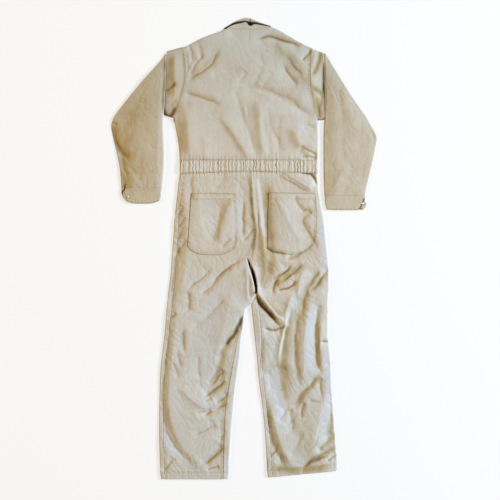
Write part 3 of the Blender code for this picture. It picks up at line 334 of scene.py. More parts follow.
# Painted shade: where the cloth is made browner and darker beside its folds and seams.
ARMHOLE_PAINTED_SHADE = [
    Band(0.22, 3, [(-220.5, 717.5), (-209.5, 651), (-208.5, 588), (-227.5, 511), (-248.5, 434)]),
    Band(0.22, 3, [(240, 714), (231.5, 651), (231, 595), (245, 518), (260.5, 434)]),
]
BODY_PAINTED_SHADE = [
    *ARMHOLE_PAINTED_SHADE,
    # back
    Band(0.10, 6, [(42, 724.5), (84, 739), (126, 731.5), (161, 717.5), (217, 701.5)]),
    Band(0.08, 12, [(-192.5, 574), (-161, 616), (-122.5, 651), (-87.5, 700)]),
    Band(0.10, 18, [(-224, 511), (-211.5, 455), (-210, 392), (-210, 315)]),
    Band(0.12, 13, [(129.5, 707), (168, 665), (206.5, 616), (241.5, 560)]),
    Band(0.10, 11, [(31.5, 532), (42, 462), (47.5, 385), (56, 308)]),
    Band(0.10, 11, [(-77, 448), (-38.5, 392), (-7, 343), (17.5, 301)]),
    Band(0.08, 8, [(-21, 574), (63, 556.5), (140, 525), (210, 472.5)]),
    Band(0.10, 11, [(150.5, 434), (164.5, 388.5), (192.5, 350), (231, 318.5)]),
    # seat and pockets
    Band(0.36, 6, [(21.5, 266), (23, 196), (31.5, 119), (38, 63), (31.5, -7), (21, -56)]),
    Band(0.36, 2.6, [(48, 217), (49.5, 157.5), (52, 91), (57, 14)]),
    Band(0.22, 16, [(75.5, 259), (82.5, 182), (87.5, 98), (94.5, 7), (91, -140)]),
    Band(0.12, 14, [(-94.5, 7), (-77, 77), (-52.5, 147), (-28, 185.5)]),
    Band(0.08, 14, [(196, 7), (171.5, 63), (150.5, 112), (129.5, 154)]),
    Band(0.09, 12, [(262.5, -14), (231, 49), (210, 98), (234.5, 143.5)]),
    Band(0.10, 14, [(115.5, 280), (164.5, 245), (213.5, 217), (252, 192.5)]),
    Band(0.10, 10, [(-238, 203), (-234.5, 98), (-245, -7), (-255.5, -112)]),
    Band(0.20, 15, [(45.5, 77), (59.5, 7), (66.5, -70), (59.5, -147)]),
    # crotch
    Band(0.64, 8, [(30, -147), (45.5, -171.5), (63, -196), (87.5, -224), (119, -260.5)]),
    Band(0.26, 12, [(63, -168), (84, -196), (108.5, -220.5), (140, -248.5)]),
    Band(0.22, 7, [(77, 56), (80.5, 7), (77, -42), (66.5, -91)]),
    Band(0.26, 3, [(115.5, 261), (154, 236), (196, 212), (238, 192.5)]),
    # right leg
    Band(0.24, 4, [(98, -117), (121, -94.5), (147, -83.5), (164.5, -63)]),
    Band(0.22, 4, [(112, -150.5), (143.5, -143.5), (168, -131.5), (185.5, -110.5)]),
    Band(0.26, 4, [(227.5, -143.5), (240, -121), (255.5, -94.5), (269.5, -80.5)]),
    Band(0.26, 4, [(248.5, -140), (262.5, -115.5), (282, -94.5), (295.5, -66.5)]),
    Band(0.20, 5, [(143.5, -40.5), (171.5, -37), (192.5, -24.5), (210, -7)]),
    Band(0.18, 12, [(112, -136.5), (140, -112), (171.5, -84), (210, -52.5)]),
    Band(0.18, 12, [(196, -224), (210, -168), (234.5, -119), (269.5, -70)]),
    Band(0.26, 16, [(168, -203), (152.5, -266), (143.5, -336), (138.5, -413), (140, -497), (150.5, -588)]),
    Band(0.16, 12, [(254, -217), (252, -280), (254, -357), (262.5, -448)]),
    Band(0.16, 9, [(203, -175), (189, -238), (180.5, -322), (189, -420), (206.5, -504)]),
    Band(0.14, 12, [(79, -518), (86, -595), (101.5, -665), (129.5, -724.5), (161, -777)]),
    Band(0.18, 9, [(182, -567), (206.5, -518), (241.5, -476), (269.5, -437.5)]),
    Band(0.18, 10, [(196, -777), (231, -745.5), (276.5, -721), (329, -689.5)]),
    Band(0.16, 9, [(255.5, -714), (287, -686), (325.5, -651)]),
    Band(0.14, 14, [(290.5, -672), (301, -602), (301, -518)]),
    Band(0.24, 14, [(77, -763), (126, -772), (189, -777), (259, -770), (315, -756)]),
    Band(0.34, 6, [(206.5, -777), (227.5, -752.5), (262.5, -738.5), (301, -724.5)]),
    Band(0.28, 5, [(91, -735), (112, -707), (122.5, -675.5)]),
    Band(0.07, 42, [(192.5, -504), (206.5, -602), (220.5, -700), (217, -791)]),
    Band(0.20, 3, [(150.5, -626.5), (168, -605.5), (192.5, -581)]),
    Band(0.20, 3, [(189, -693), (206.5, -658), (213.5, -623)]),
    Band(0.18, 3, [(224, -714), (252, -682.5), (262.5, -644)]),
    # left leg
    Band(0.62, 7, [(1.5, -227.5), (-15.5, -266), (-36.5, -304.5), (-70, -350)]),
    Band(0.24, 12, [(-7, -245), (-38.5, -301), (-70, -357), (-85.5, -420), (-115.5, -497)]),
    Band(0.11, 10, [(-252, -154), (-262.5, -252), (-271, -357), (-276.5, -462)]),
    Band(0.13, 9, [(-273, -532), (-259, -616), (-227.5, -693), (-182, -749), (-147, -784)]),
    Band(0.13, 9, [(-143.5, -528.5), (-112, -504), (-87.5, -486.5), (-59.5, -462)]),
    Band(0.13, 9, [(-140, -591.5), (-115.5, -572), (-87.5, -560), (-56, -539)]),
    Band(0.14, 9, [(-147, -763), (-115.5, -738.5), (-87.5, -710.5), (-66.5, -682.5)]),
    Band(0.10, 10, [(-192.5, -290.5), (-154, -262.5), (-115.5, -227.5), (-73.5, -175)]),
    Band(0.10, 10, [(-168, -175), (-122.5, -140), (-80.5, -94.5), (-28, -52.5)]),
    Band(0.10, 10, [(-203, -367.5), (-210, -329), (-210, -280)]),
]
# Painted highlights, where the cloth is lit: its depth is how much lighter and cooler it is.
BODY_PAINTED_LIGHT = [
    # back
    Band(0.45, 12, [(206.5, 553), (219, 500.5), (206.5, 451.5)]),
    Band(0.35, 14, [(133, 446), (182, 427), (231, 409.5)]),
    # seat and pockets
    Band(0.60, 4, [(41.5, 262.5), (42.5, 210), (51, 154), (61, 91), (68, 42)]),
    Band(0.60, 5, [(119, 269.5), (161, 245.5), (201, 224), (241.5, 206.5)]),
    Band(0.30, 14, [(-3.5, 248.5), (-12, 168), (-17.5, 91), (-10.5, 28)]),
    Band(0.35, 18, [(136.5, 185.5), (154, 126), (164.5, 70), (168, 3.5)]),
    Band(0.30, 16, [(-126, 171.5), (-112, 112), (-119, 49)]),
    Band(0.50, 11, [(261, 126), (269.5, 45.5), (282, -49), (287, -133)]),
    # crotch
    Band(0.70, 6, [(2, -42), (0, -94.5), (2, -140), (7, -182)]),
    Band(0.90, 2.4, [(35, -98), (51, -152), (83.5, -194), (117, -236), (142, -254)]),
    # right leg
    Band(0.22, 3, [(168, -185.5), (146.5, -269.5), (131, -339.5), (122.5, -399)]),
    Band(0.50, 20, [(91, -413), (100, -462), (115.5, -518), (126, -574), (140, -651)]),
    Band(0.40, 13, [(236, -182), (233, -287), (229, -374.5), (220.5, -469)]),
    Band(0.32, 15, [(276.5, -322), (282, -392), (292, -479.5), (290.5, -553), (273, -623), (241.5, -679)]),
    # left leg
    Band(0.40, 40, [(-63, -84), (-105, -199.5), (-133, -322), (-154, -469)]),
    Band(0.55, 14, [(-290.5, -602), (-273, -651), (-245, -700), (-203, -749)]),
    Band(0.35, 10, [(-189, -528.5), (-136.5, -556.5), (-73.5, -570.5)]),
    Band(0.35, 12, [(-269.5, -472.5), (-252, -521.5), (-224, -570.5)]),
]
# Painted shade on the sleeves, browner and darker beside their folds and edges.
LEFT_SLEEVE_PAINTED_SHADE = [
    Band(0.34, 5, [(-276.5, 679), (-277, 605.5), (-280.5, 535.5), (-283.5, 462)]),
    Band(0.30, 8, [(-464, 444.5), (-458.5, 406), (-446, 364), (-425, 332.5), (-395.5, 301)]),
    Band(0.10, 20, [(-434, 343), (-413, 280), (-399, 217), (-385, 175)]),
    Band(0.18, 8, [(-432, 280), (-421.5, 245), (-418.5, 217), (-428.5, 185.5)]),
    Band(0.11, 34, [(-364, 553), (-392, 448), (-399, 343), (-385, 220.5)]),
]
RIGHT_SLEEVE_PAINTED_SHADE = [
    Band(0.06, 18, [(290.5, 651), (297.5, 518), (297.5, 343), (290.5, 140)]),
    Band(0.07, 10, [(339.5, 581), (353.5, 504), (374.5, 416.5)]),
    Band(0.05, 9, [(360.5, 301), (325.5, 238), (294, 147)]),
    Band(0.04, 8, [(339.5, 497), (322, 539), (304.5, 588)]),
]
# Painted shade on the sleeve heads: along the armholes, in the gaps beside the arms, under the arms and
# beside their folds.
HEAD_PAINTED_SHADE = [
    *ARMHOLE_PAINTED_SHADE,
    # left
    Band(0.66, 3.6, [(-273.5, 703.5), (-274.5, 640.5), (-276.5, 570.5), (-279.5, 490)]),
    Band(0.20, 11, [(-259, 693), (-259, 644), (-262.5, 581), (-266, 518)]),
    Band(0.30, 7, [(-280, 542.5), (-266, 554.5), (-248.5, 567), (-227.5, 577.5)]),
    Band(0.64, 7, [(-281.5, 514.5), (-282, 490), (-275, 469), (-259, 455)]),
    Band(0.56, 7, [(-273, 462), (-255.5, 462), (-243, 479.5), (-238, 497)]),
    Band(0.18, 7, [(-241.5, 525), (-232.5, 497), (-238, 462)]),
    # right
    Band(0.76, 4.4, [(283, 672), (279.5, 602), (279.5, 553), (285, 518), (282, 434)]),
    Band(0.26, 7, [(273, 703.5), (262.5, 658), (250.5, 623), (234.5, 591.5)]),
    Band(0.24, 7, [(213.5, 581), (238, 560), (259, 549.5), (283.5, 528.5)]),
    Band(0.28, 10, [(252, 539), (257.5, 504), (262.5, 469), (269.5, 441)]),
    Band(0.68, 6, [(248.5, 451.5), (262.5, 442.5), (276.5, 444.5), (290.5, 462)]),
    Band(0.16, 5, [(234.5, 693), (232.5, 651), (231, 602)]),
]
LEFT_SLEEVE_FOLDS = [
    Fold(5.2, 110, 30, [
        (-308, 147), (-304.5, 238), (-301, 343), (-297.5, 448), (-290.5, 553), (-283.5, 672),
    ]),
    Fold(-3.5, 15, 15, [(-395.5, 297.5), (-423.5, 332.5), (-444.5, 364), (-456.5, 402.5), (-465.5, 441)]),
    Fold(-1.7, 6, 13, [(-469, 442.5), (-441, 432)]),
    Fold(1.3, 30, 40, [(-378, 308), (-406, 378), (-427, 434)]),
    Fold(-1.5, 17, 8, [(-399, 246.5), (-416.5, 273), (-423.5, 308), (-432, 343)]),
    Fold(-0.7, 23, 9, [(-357, 248.5), (-362.5, 290.5), (-355.5, 336)]),
    Fold(-1.1, 8, 15, [(-406, 283.5), (-378, 262.5), (-350, 246.5)]),
    Fold(-1.0, 7, 13, [(-336, 359), (-308, 346.5), (-276.5, 341)]),
    Fold(-1.1, 19, 9, [(-418, 196), (-416.5, 231), (-395.5, 248.5)]),
    Fold(1.0, 14, 26, [(-378, 168), (-388.5, 210), (-381.5, 245)]),
    Fold(-0.9, 26, 12, [(-336, 385), (-353.5, 455), (-343, 546)]),
    Fold(-0.9, 23, 10, [(-385, 476), (-364, 525), (-339.5, 574)]),
]
RIGHT_SLEEVE_FOLDS = [
    Fold(1.1, 34, 60, [(315, 140), (318.5, 238), (325.5, 343), (322, 448), (311.5, 553), (294, 651)]),
    Fold(1.1, 15, 26, [(374.5, 413), (362, 451.5), (351.5, 490), (345, 525), (343, 567)]),
    Fold(-0.6, 26, 10, [(353.5, 444.5), (337.5, 486.5), (332.5, 525), (334.5, 560)]),
    Fold(0.7, 18, 19, [(343, 469), (322, 511), (304.5, 546), (294, 581)]),
    Fold(0.6, 12, 26, [(399, 378), (385, 427), (373, 469)]),
    Fold(-0.7, 26, 10, [(353.5, 294), (344.5, 343), (346.5, 385), (360.5, 430.5)]),
    Fold(1.0, 14, 26, [(290.5, 154), (304.5, 199.5), (322, 236), (337.5, 266), (360.5, 294)]),
    Fold(-0.7, 26, 8, [(297.5, 196), (313.5, 238), (311.5, 280), (301, 315)]),
    Fold(-0.7, 19, 9, [(360.5, 231), (372.5, 273), (369.5, 315)]),
    Fold(-0.6, 8, 15, [(339.5, 259), (357, 238), (381.5, 227.5)]),
    Fold(-0.6, 17, 8, [(346.5, 154), (348.5, 189), (360.5, 224)]),
    Fold(-0.5, 17, 8, [(378, 136.5), (381.5, 175), (374.5, 210)]),
    Fold(-0.6, 19, 10, [(409.5, 224), (416.5, 280), (434, 336)]),
    Fold(-0.5, 17, 8, [(392, 350), (423.5, 371), (469, 388.5)]),
]
HEAD_FOLDS = [
    Fold(-2.5, 19, 11, [(238, 598.5), (252, 628), (262.5, 658), (268, 700)]),
    Fold(1.2, 6, 13, [(236, 623), (243, 658), (252, 693)]),
    Fold(-1.0, 10, 5, [(236.5, 616), (236, 658), (241.5, 696.5)]),
    Fold(1.7, 17, 12, [(234.5, 535.5), (250.5, 539), (266, 532)]),
    Fold(-2.0, 7, 17, [(217, 581), (241.5, 558.5), (276.5, 546)]),
    Fold(-2.5, 17, 9, [(266, 448), (260.5, 483), (269.5, 518), (283.5, 542.5)]),
    Fold(2.0, 12, 26, [(-245, 514.5), (-241.5, 567), (-243, 623), (-241.5, 686)]),
    Fold(-1.7, 13, 8, [(-283.5, 549.5), (-262.5, 560), (-238, 577.5)]),
    Fold(1.3, 17, 8, [(-273, 504), (-255.5, 512.5), (-234.5, 500.5)]),
    Fold(-1.2, 6, 13, [(-280, 476), (-262.5, 493.5), (-241.5, 483)]),
]

# The edges, which lie lower than the cloth between them.
BODY_EDGES = [
    [
        (-224, 280), (-241.5, 108.5), (-253.5, -31.5), (-266, -150.5), (-276.5, -280), (-294, -441),
        (-297.5, -595), (-290.5, -812),
    ],
    [(3.5, -220.5), (-10.5, -315), (-24.5, -441), (-42, -595), (-56, -812)],
    [(24.5, -203), (38.5, -315), (52.5, -441), (70, -595), (84, -812)],
    [
        (259, 448), (257.5, 266), (276.5, 108.5), (294, -49), (294, -287), (304.5, -441), (315, -595),
        (329, -791),
    ],
]
LEFT_SLEEVE_EDGES = [
    [
        (-283.5, 668.5), (-353.5, 588), (-423.5, 504), (-463.5, 441), (-455, 371), (-437.5, 287),
        (-430.5, 210), (-416.5, 147),
    ],
]
RIGHT_SLEEVE_EDGES = [
    [(297.5, 665), (350, 574), (427, 458.5), (465.5, 381.5), (442.5, 266), (423, 175), (420, 126)],
]

# Legs, from the waist down. A side that ends in a rolled edge has its length of cloth from the
# edge's outermost line to the seam: over the top it is positive, and underneath it is negative.
# Otherwise it ends in a seam, or in a gap where it comes down on the lower layer. A row's tilt is
# its slope, up to the right.
SEAM, GAP = "seam", "gap"
LEFT_LEG = [
    Row(WAIST_SEAM, -224.5, 17, 24.5, SEAM, 0.031),
    Row(231, -230, 17, 26, SEAM, 0.015),
    Row(199.5, -233, 17, 28, SEAM),
    Row(108.5, -243, 17, 35.5, SEAM),
    Row(70, -245.5, 17, 42, SEAM),
    Row(35, -248, 17, 38.5, SEAM),
    Row(3.5, -250.5, 17, 27.5, SEAM),
    Row(-31.5, -253.5, 17, 12.5, SEAM),
    Row(-56, -255, 18, 15.5, GAP),
    Row(-91, -257.5, 19, 26, GAP),
    Row(-126, -261.5, 20, 35, GAP),
    Row(-150.5, -265, 20, 38.5, GAP),
    Row(-171.5, -267, 20, 32.5, GAP),
    Row(-192.5, -269, 20, 22.5, GAP),
    Row(-210, -271, 20, 8.5, -2),
    Row(-227.5, -272.5, 20, 1.5, 3),
    Row(-252, -274.5, 18, -1, 6),
    Row(-280, -277, 17, -4, 9),
    Row(-315, -280, 17, -10.5, 13),
    Row(-378, -288, 17, -15.5, 21),
    Row(-441, -294, 17, -24.5, 23),
    Row(-518, -296, 17, -34.5, 27),
    Row(-595, -297.5, 17, -41, 29),
    Row(-672, -297, 17, -47, 26),
    Row(-742, -295, 17, -52, 23),
    Row(-780.5, -294, 17, -52.5, 22),
    Row(-808, -290, 17, -56, 20),
]
RIGHT_LEG = [
    Row(WAIST_SEAM, 24.5, SEAM, 256, UNDER, -0.031),
    Row(231, 26, SEAM, 258, UNDER, -0.015),
    Row(199.5, 28, SEAM, 261.5),
    Row(108.5, 35.5, SEAM, 277),
    Row(70, 42, SEAM, 282),
    Row(35, 38.5, SEAM, 285.5),
    Row(3.5, 27.5, SEAM, 289),
    Row(-31.5, 12.5, SEAM, 292.5),
    Row(-56, 23, GAP, 295),
    Row(-91, 38, GAP, 297),
    Row(-126, 45, GAP, 297),
    Row(-147, 46.5, GAP, 297),
    Row(-164.5, 41.5, 3, 295.5),
    Row(-178.5, 34.5, 13, 294.5),
    Row(-196, 25.5, 24, 294),
    Row(-213.5, 26, 28, 294),
    Row(-241.5, 29, 28, 294),
    Row(-273, 32.5, 27, 294),
    Row(-315, 37, 25, 294),
    Row(-378, 44.5, 20, 301.5),
    Row(-441, 49.5, 18, 305),
    Row(-518, 59, 17, 308),
    Row(-595, 68.5, 17, 314),
    Row(-675.5, 75, 18, 320, UNDER, 0.015),
    Row(-749, 79, 18, 325, UNDER, 0.06),
    Row(-780.5, 80, 18, 327, UNDER, 0.09),
    Row(-808, 84, 18, 326, UNDER, 0.095),
]

# Upper back: its sides run up to the underarm as rolled edges and then as armhole seams.
BACK_LEFT_SIDE = [(-226, 308), (-228.5, 350), (-235, 392), (-243, 434), (-247, 451.5)]
BACK_LEFT_ARMHOLE = [
    (-236, 474), (-229, 493.5), (-219.5, 528.5), (-211.5, 567), (-207, 609), (-207, 651), (-213.5, 679),
]
BACK_RIGHT_SIDE = [(259, 308), (260.5, 364), (260, 420), (258.5, 444.5)]
BACK_RIGHT_ARMHOLE = [
    (253.5, 472.5), (245, 504), (236.5, 535.5), (231.5, 567), (230.5, 609), (232.5, 658), (236, 682.5),
]
LEFT_SHOULDER = [
    (-220.5, 703.5), (-203, 706.5), (-185.5, 715.5), (-161, 728), (-129.5, 742), (-101.5, 752.5),
    (-79, 759.5),
]
NECK = [(-49, 768.5), (-14, 768), (17, 766), (45.5, 768), (70, 770.5)]
RIGHT_SHOULDER = [(96, 775), (126, 761), (161, 740.5), (196, 721), (217, 710), (238, 700)]
FRONT_NECK = [(-66.5, 751), (-42, 756.5), (-10.5, 759), (28, 759.5), (59.5, 759), (84, 756)]

# Sleeves, from the shoulder down: the outer edge, the inner edge where the sleeve folds down.
LEFT_ARM = [
    Section(678.5, -278, -271),
    Section(668.5, -283.5, -271.5),
    Section(654.5, -294, -272.5),
    Section(630, -315, -273),
    Section(588, -353, -275),
    Section(546, -388, -276.5),
    Section(504, -422, -278.5),
    Section(472.5, -446.5, -282),
    Section(448, -460.5, -283.5),
    Section(423.5, -465.5, -283.5),
    Section(392, -460, -282),
    Section(353.5, -451, -280.5),
    Section(308, -440.5, -280),
    Section(259, -433, -282),
    Section(210, -430, -287),
]
RIGHT_ARM = [
    Section(680.5, 286.5, 280.5),
    Section(672, 291, 281),
    Section(661.5, 298, 281.5),
    Section(644, 308, 282),
    Section(616, 325, 283.5),
    Section(574, 351, 285),
    Section(532, 377.5, 285.5),
    Section(490, 406.5, 284.5),
    Section(458.5, 428.5, 282),
    Section(427, 446, 279.5),
    Section(402.5, 460, 278.5),
    Section(381.5, 465.5, 278),
    Section(353.5, 460.5, 278),
    Section(308, 451.5, 278),
    Section(266, 442, 278.5),
    Section(224, 432, 279.5),
    Section(183.5, 423, 281.5),
]
# Cuffs, the same way, with how far each row sags below its ends.
LEFT_CUFF = [
    Cuff(210, -429.5, -287, 0),
    Cuff(196, -430, -288.5, 0),
    Cuff(178.5, -426, -290.5, 3),
    Cuff(155.5, -418.5, -293.5, 14),
]
RIGHT_CUFF = [
    Cuff(183.5, 423, 282, 0),
    Cuff(168, 423.5, 283, 0),
    Cuff(152, 430, 285, 0),
    Cuff(133, 420, 290, 2),
]
# Top and bottom of each sleeve head where it meets the arm.
LEFT_HEAD_ENDS = (690, 465.5)
RIGHT_HEAD_ENDS = (683, 449.5)

# Pocket outlines: the mouth, the side seams and the rounded bottom.
LEFT_POCKET = {
    "top": [(-183.5, 191), (-136.5, 192), (-84, 191), (-42, 190.5), (-31.5, 186)],
    "left": [(-196.5, 7), (-192.5, 70), (-187.5, 140), (-183.5, 191)],
    "right": [(-33, 2), (-26.5, 17.5), (-24, 49), (-26, 119), (-31.5, 186)],
    "bottom": [
        (-196.5, 7), (-191, -2), (-182, -10), (-157.5, -20.5), (-117, -25), (-80.5, -23), (-52.5, -14.5),
        (-37, -3.5), (-33, 2),
    ],
}
RIGHT_POCKET = {
    "top": [(85.5, 194), (136.5, 193), (192.5, 192.5), (241.5, 192), (250, 187.5)],
    "left": [(82.5, -1.5), (82.5, 63), (84, 133), (85.5, 194)],
    "right": [(238.5, 10), (246.5, 21), (252, 49), (253.5, 105), (250, 187.5)],
    "bottom": [
        (82.5, -1.5), (94.5, -8.5), (115.5, -15.5), (157.5, -22.5), (189, -21), (213.5, -12), (229.5, 0),
        (238.5, 10),
    ],
}
# Painted shade: the dark inside of the collar, between the back's neck and the front of the collar.
NECK_PAINTED_SHADE_TOP = [
    (-77, 761), (-70, 770), (-49, 784.5), (-28, 791.5), (-10.5, 795), (7, 796), (21, 793), (38.5, 791),
    (56, 787), (77, 782), (98, 775),
]
LEFT_SNAP = (-405, 180)
RIGHT_SNAP = (416, 156)

# The seat seam, and lines of painted shade where the cloth lies deep in shade: the crotch
# opening and the ends of the cuff slits.
SEAT_SEAM = [
    (24.5, 266), (26.5, 231), (28.5, 199.5), (31, 154), (35.5, 108.5), (42, 70), (38.5, 35), (27.5, 3.5),
    (12.5, -31.5),
]
CROTCH_SHADE = [
    (8.5, -31.5), (16, -56), (27.5, -91), (37, -126), (40.5, -150.5), (37, -175), (56, -199.5), (84, -227.5),
    (112, -255.5), (129.5, -273),
]
CROTCH_SHADE_TOP = 4.5  # the painted shade lies on the layer below this height
LEFT_SLIT_SHADE = [(-415, 222), (-417, 208.5), (-424, 197.5), (-429, 187)]
RIGHT_SLIT_SHADE = [(425, 182), (418.5, 166), (411.5, 150.5), (406, 138)]

STITCH_GAP = 4.4
STITCH_LENGTH = 2.7
STITCH_RADIUS = 0.32
PUCKER_LENGTH = 8.5  # from one pucker to the next along a row of stitching
PUCKER_WIDTH = 2.0
PUCKER_REACH = 7
SEAM_SINK = 0.45
FELL_LIFT = 0.5  # height that a felled seam adds on the left of its line, where it is doubled
FELL_LIFT_RIGHT = 0.2
GROOVE_DEPTH = 0.4
GROOVE_WIDTH = 1.6

# Painted shade in the cloth's colour, from 0, none, to 1, the darkest.
SEAM_SHADE = 0.17  # painted shade in the puckers along a row of stitching
SLEEVE_SHADE = 0.075  # painted shade that makes the sleeves a little browner than the body
CREASE_SHADE = 0.42  # painted shade in the sharp creases at their deepest
SLIT_SHADE = 0.85  # painted shade at the ends of the cuff slits
SLIT_REACH = 2.2
SHADE_BROWNS = ((0.2, (0.76, 0.64, 0.40, 1.0)), (0.45, (0.38, 0.29, 0.16, 1.0)))
DARKEST = (0.02, 0.017, 0.013, 1.0)
LIT_COLOUR = (0.575, 0.578, 0.590, 1.0)  # painted highlight: the cloth's colour where it faces the light

# The stage, in metres.
FLOOR_REACH = 4.0
FLOOR_DROP = 0.0002
KEY_PLACE = (6.15, 1.05, 3.6)
KEY_SIZE = 1.65
FILL_PLACE = (-4.3, 0.5, 2.3)
FILL_SIZE = 2.0
CAMERA_PLACE = (0.021, -0.007, 2.437)


# ---- lines and surfaces


def smoothstep(share):
    """0 below 0 and 1 above 1, with a soft step between."""
    share = np.clip(share, 0.0, 1.0)
    return share * share * (3 - 2 * share)


def rounded(knots, counts):
    """Rows between the knots by Catmull-Rom, as many to each interval as its count."""
    knots = np.asarray(knots, float)
    ends = np.concatenate([knots[:1], knots, knots[-1:]])
    rows = []
    for index, count in enumerate(counts):
        a, b, c, d = ends[index:index + 4]
        for t in np.arange(count) / count:
            rows.append(
                0.5 * (2 * b + (c - a) * t + (2 * a - 5 * b + 4 * c - d) * t * t
                       + (3 * b - a - 3 * c + d) * t ** 3)
            )
    return np.array([*rows, knots[-1]])


def smooth_line(points, steps=6):
    return rounded(points, [steps] * (len(points) - 1))


def lengths_along(line):
    """The length from the line's start to each of its points."""
    return np.concatenate([[0.0], np.cumsum(np.linalg.norm(np.diff(line, axis=0), axis=1))])


def along(line, shares):
    """Points at shares of the line's length."""
    line = np.asarray(line, float)
    total = lengths_along(line)
    return np.stack([np.interp(np.asarray(shares) * total[-1], total, column) for column in line.T], -1)


def near_line(line, x, y):
    """(distance, on the left, share along) of points against a line."""
    line = np.asarray(line, float)
    total = lengths_along(line)
    away = np.full(x.shape, np.inf)
    left = np.zeros(x.shape, bool)
    share = np.zeros(x.shape)
    for index in range(len(line) - 1):
        (ax, ay), (dx, dy) = line[index], line[index + 1] - line[index]
        length = math.hypot(dx, dy)
        t = np.clip(((x - ax) * dx + (y - ay) * dy) / length ** 2, 0.0, 1.0)
        here = np.hypot(x - ax - dx * t, y - ay - dy * t)
        closer = here < away
        away[closer] = here[closer]
        left[closer] = (dx * (y - ay) - dy * (x - ax) > 0)[closer]
        share[closer] = ((total[index] + t * length) / total[-1])[closer]
    return away, left, share


def close_to(line, reach, x, y):
    """Which points are within reach of the box round a line."""
    low, high = line.min(axis=0) - reach, line.max(axis=0) + reach
    return (x > low[0]) & (x < high[0]) & (y > low[1]) & (y < high[1])


def fading(share, fade):
    """1 along a path, and down to 0 over this share of it at both ends."""
    return smoothstep(np.minimum(share, 1 - share) / fade)


def lifted(x, y, folds):
    """The sum of what the folds lift at these points."""
    lift = np.zeros(x.shape)
    for fold in folds:
        line = smooth_line(fold.path, PATH_STEPS)
        near = close_to(line, FOLD_REACH * max(fold.left, fold.right), x, y)
        if near.any():
            away, left, share = near_line(line, x[near], y[near])
            width = np.where(left, fold.left, fold.right)
            height = fold.height * fading(share, FOLD_FADE)
            lift[near] += height * np.exp(-((away / width) ** FOLD_SHARP))
    return lift


def creased(x, y, folds):
    """Painted shade down in the sharp creases: how dark each point is."""
    dark = np.zeros(x.shape)
    for fold in folds:
        sharp = 1 - smoothstep((min(fold.left, fold.right) - CREASE_FLANK) / CREASE_BLUNT)
        if fold.height > -CREASE_LEAST or sharp == 0:
            continue
        line = smooth_line(fold.path, PATH_STEPS)
        near = close_to(line, CREASE_FLANK, x, y)
        if near.any():
            away, _, share = near_line(line, x[near], y[near])
            deep = CREASE_SHADE * sharp * min(1.0, -fold.height / CREASE_FULL) * fading(share, CREASE_FADE)
            dark[near] = np.maximum(dark[near], deep * np.exp(-((away / CREASE_WIDTH) ** 2)))
    return dark


def crease_depth():
    return bpy.context.scene.suit_cloth.crease


def noise(x, y, size_x, size_y, seed):
    """Smooth noise, about -1 to 1, with bumps of the given size."""
    angles = np.random.default_rng(seed).uniform(0, 2 * math.pi, (NOISE_CELLS, NOISE_CELLS))
    gx, gy = x / size_x + NOISE_START, y / size_y + NOISE_START
    ix, iy = np.floor(gx).astype(int), np.floor(gy).astype(int)
    fx, fy = gx - ix, gy - iy
    sx, sy = fx ** 3 * (fx * (fx * 6 - 15) + 10), fy ** 3 * (fy * (fy * 6 - 15) + 10)

    def corner(dx, dy):
        angle = angles[(ix + dx) % NOISE_CELLS, (iy + dy) % NOISE_CELLS]
        return np.cos(angle) * (fx - dx) + np.sin(angle) * (fy - dy)

    low = corner(0, 0) * (1 - sx) + corner(1, 0) * sx
    high = corner(0, 1) * (1 - sx) + corner(1, 1) * sx
    return 1.5 * (low * (1 - sy) + high * sy)


def crumple(x, y, seed):
    """Small unplanned creases, longer down the suit than across it, in patches."""
    soft = 0.35 * noise(x, y, *CRUMPLES["soft"], seed)
    bend_x, bend_y = (5 * noise(x, y, *CRUMPLES["bend"], seed + extra) for extra in (5, 6))
    wx, wy = x + bend_x, y + bend_y
    crease = -np.exp(-np.abs(noise(wx + 0.45 * wy, wy - 0.3 * wx, *CRUMPLES["crease"], seed + 2)) * 9)
    cross = -np.exp(-np.abs(noise(wx - 0.6 * wy, wy + 0.5 * wx, *CRUMPLES["cross"], seed + 3)) * 8)
    patchy = smoothstep(0.5 + 1.1 * noise(x, y, *CRUMPLES["patch"], seed + 4))
    return soft + 1.1 * patchy * crease + 0.7 * (1 - patchy) * cross


def wander(x, y, seed):
    """The same points, moved a little so that the listed creases aren't smooth curves."""
    step_x, step_y = (WANDER * noise(x, y, WANDER_SIZE, WANDER_SIZE, seed + extra) for extra in (0, 7))
    return x + step_x, y + step_y


def gathers(x, pitch, seed):
    """Uneven gathers across the waist, -1 to 1."""
    phase = x / pitch + 0.75 * noise(x, 0 * x, pitch * 2.6, 1, seed)
    return np.cos(2 * math.pi * phase) * (0.65 + 0.8 * noise(x, 0 * x + 40, pitch * 1.7, 1, seed + 1))


def edge_sink(x, y, edges):
    """How much lower the cloth lies toward these edges."""
    return sum(np.exp(-((near_line(line, x, y)[0] / EDGE_REACH) ** 2)) for line in edges) * EDGE_SINK


def waist_seam(x):
    return WAIST_SEAM - WAIST_FALL * np.abs(x - CENTRE)


def seam_relief(x, y):
    """The thickness that the felled seams and the hems add, with their puckers."""
    lift = np.zeros(x.shape)
    for line, width in FELLED:
        away, left, share = near_line(line, x, y)
        pucker = 1 + 0.45 * np.sin(share * len(line) * 5.1) * np.sin(share * len(line) * 1.7)
        lift += np.where(left, FELL_LIFT * pucker, FELL_LIFT_RIGHT * pucker) * np.exp(-((away / width) ** 4))
        lift -= GROOVE_DEPTH * np.exp(-((away / GROOVE_WIDTH) ** 2))
    return lift


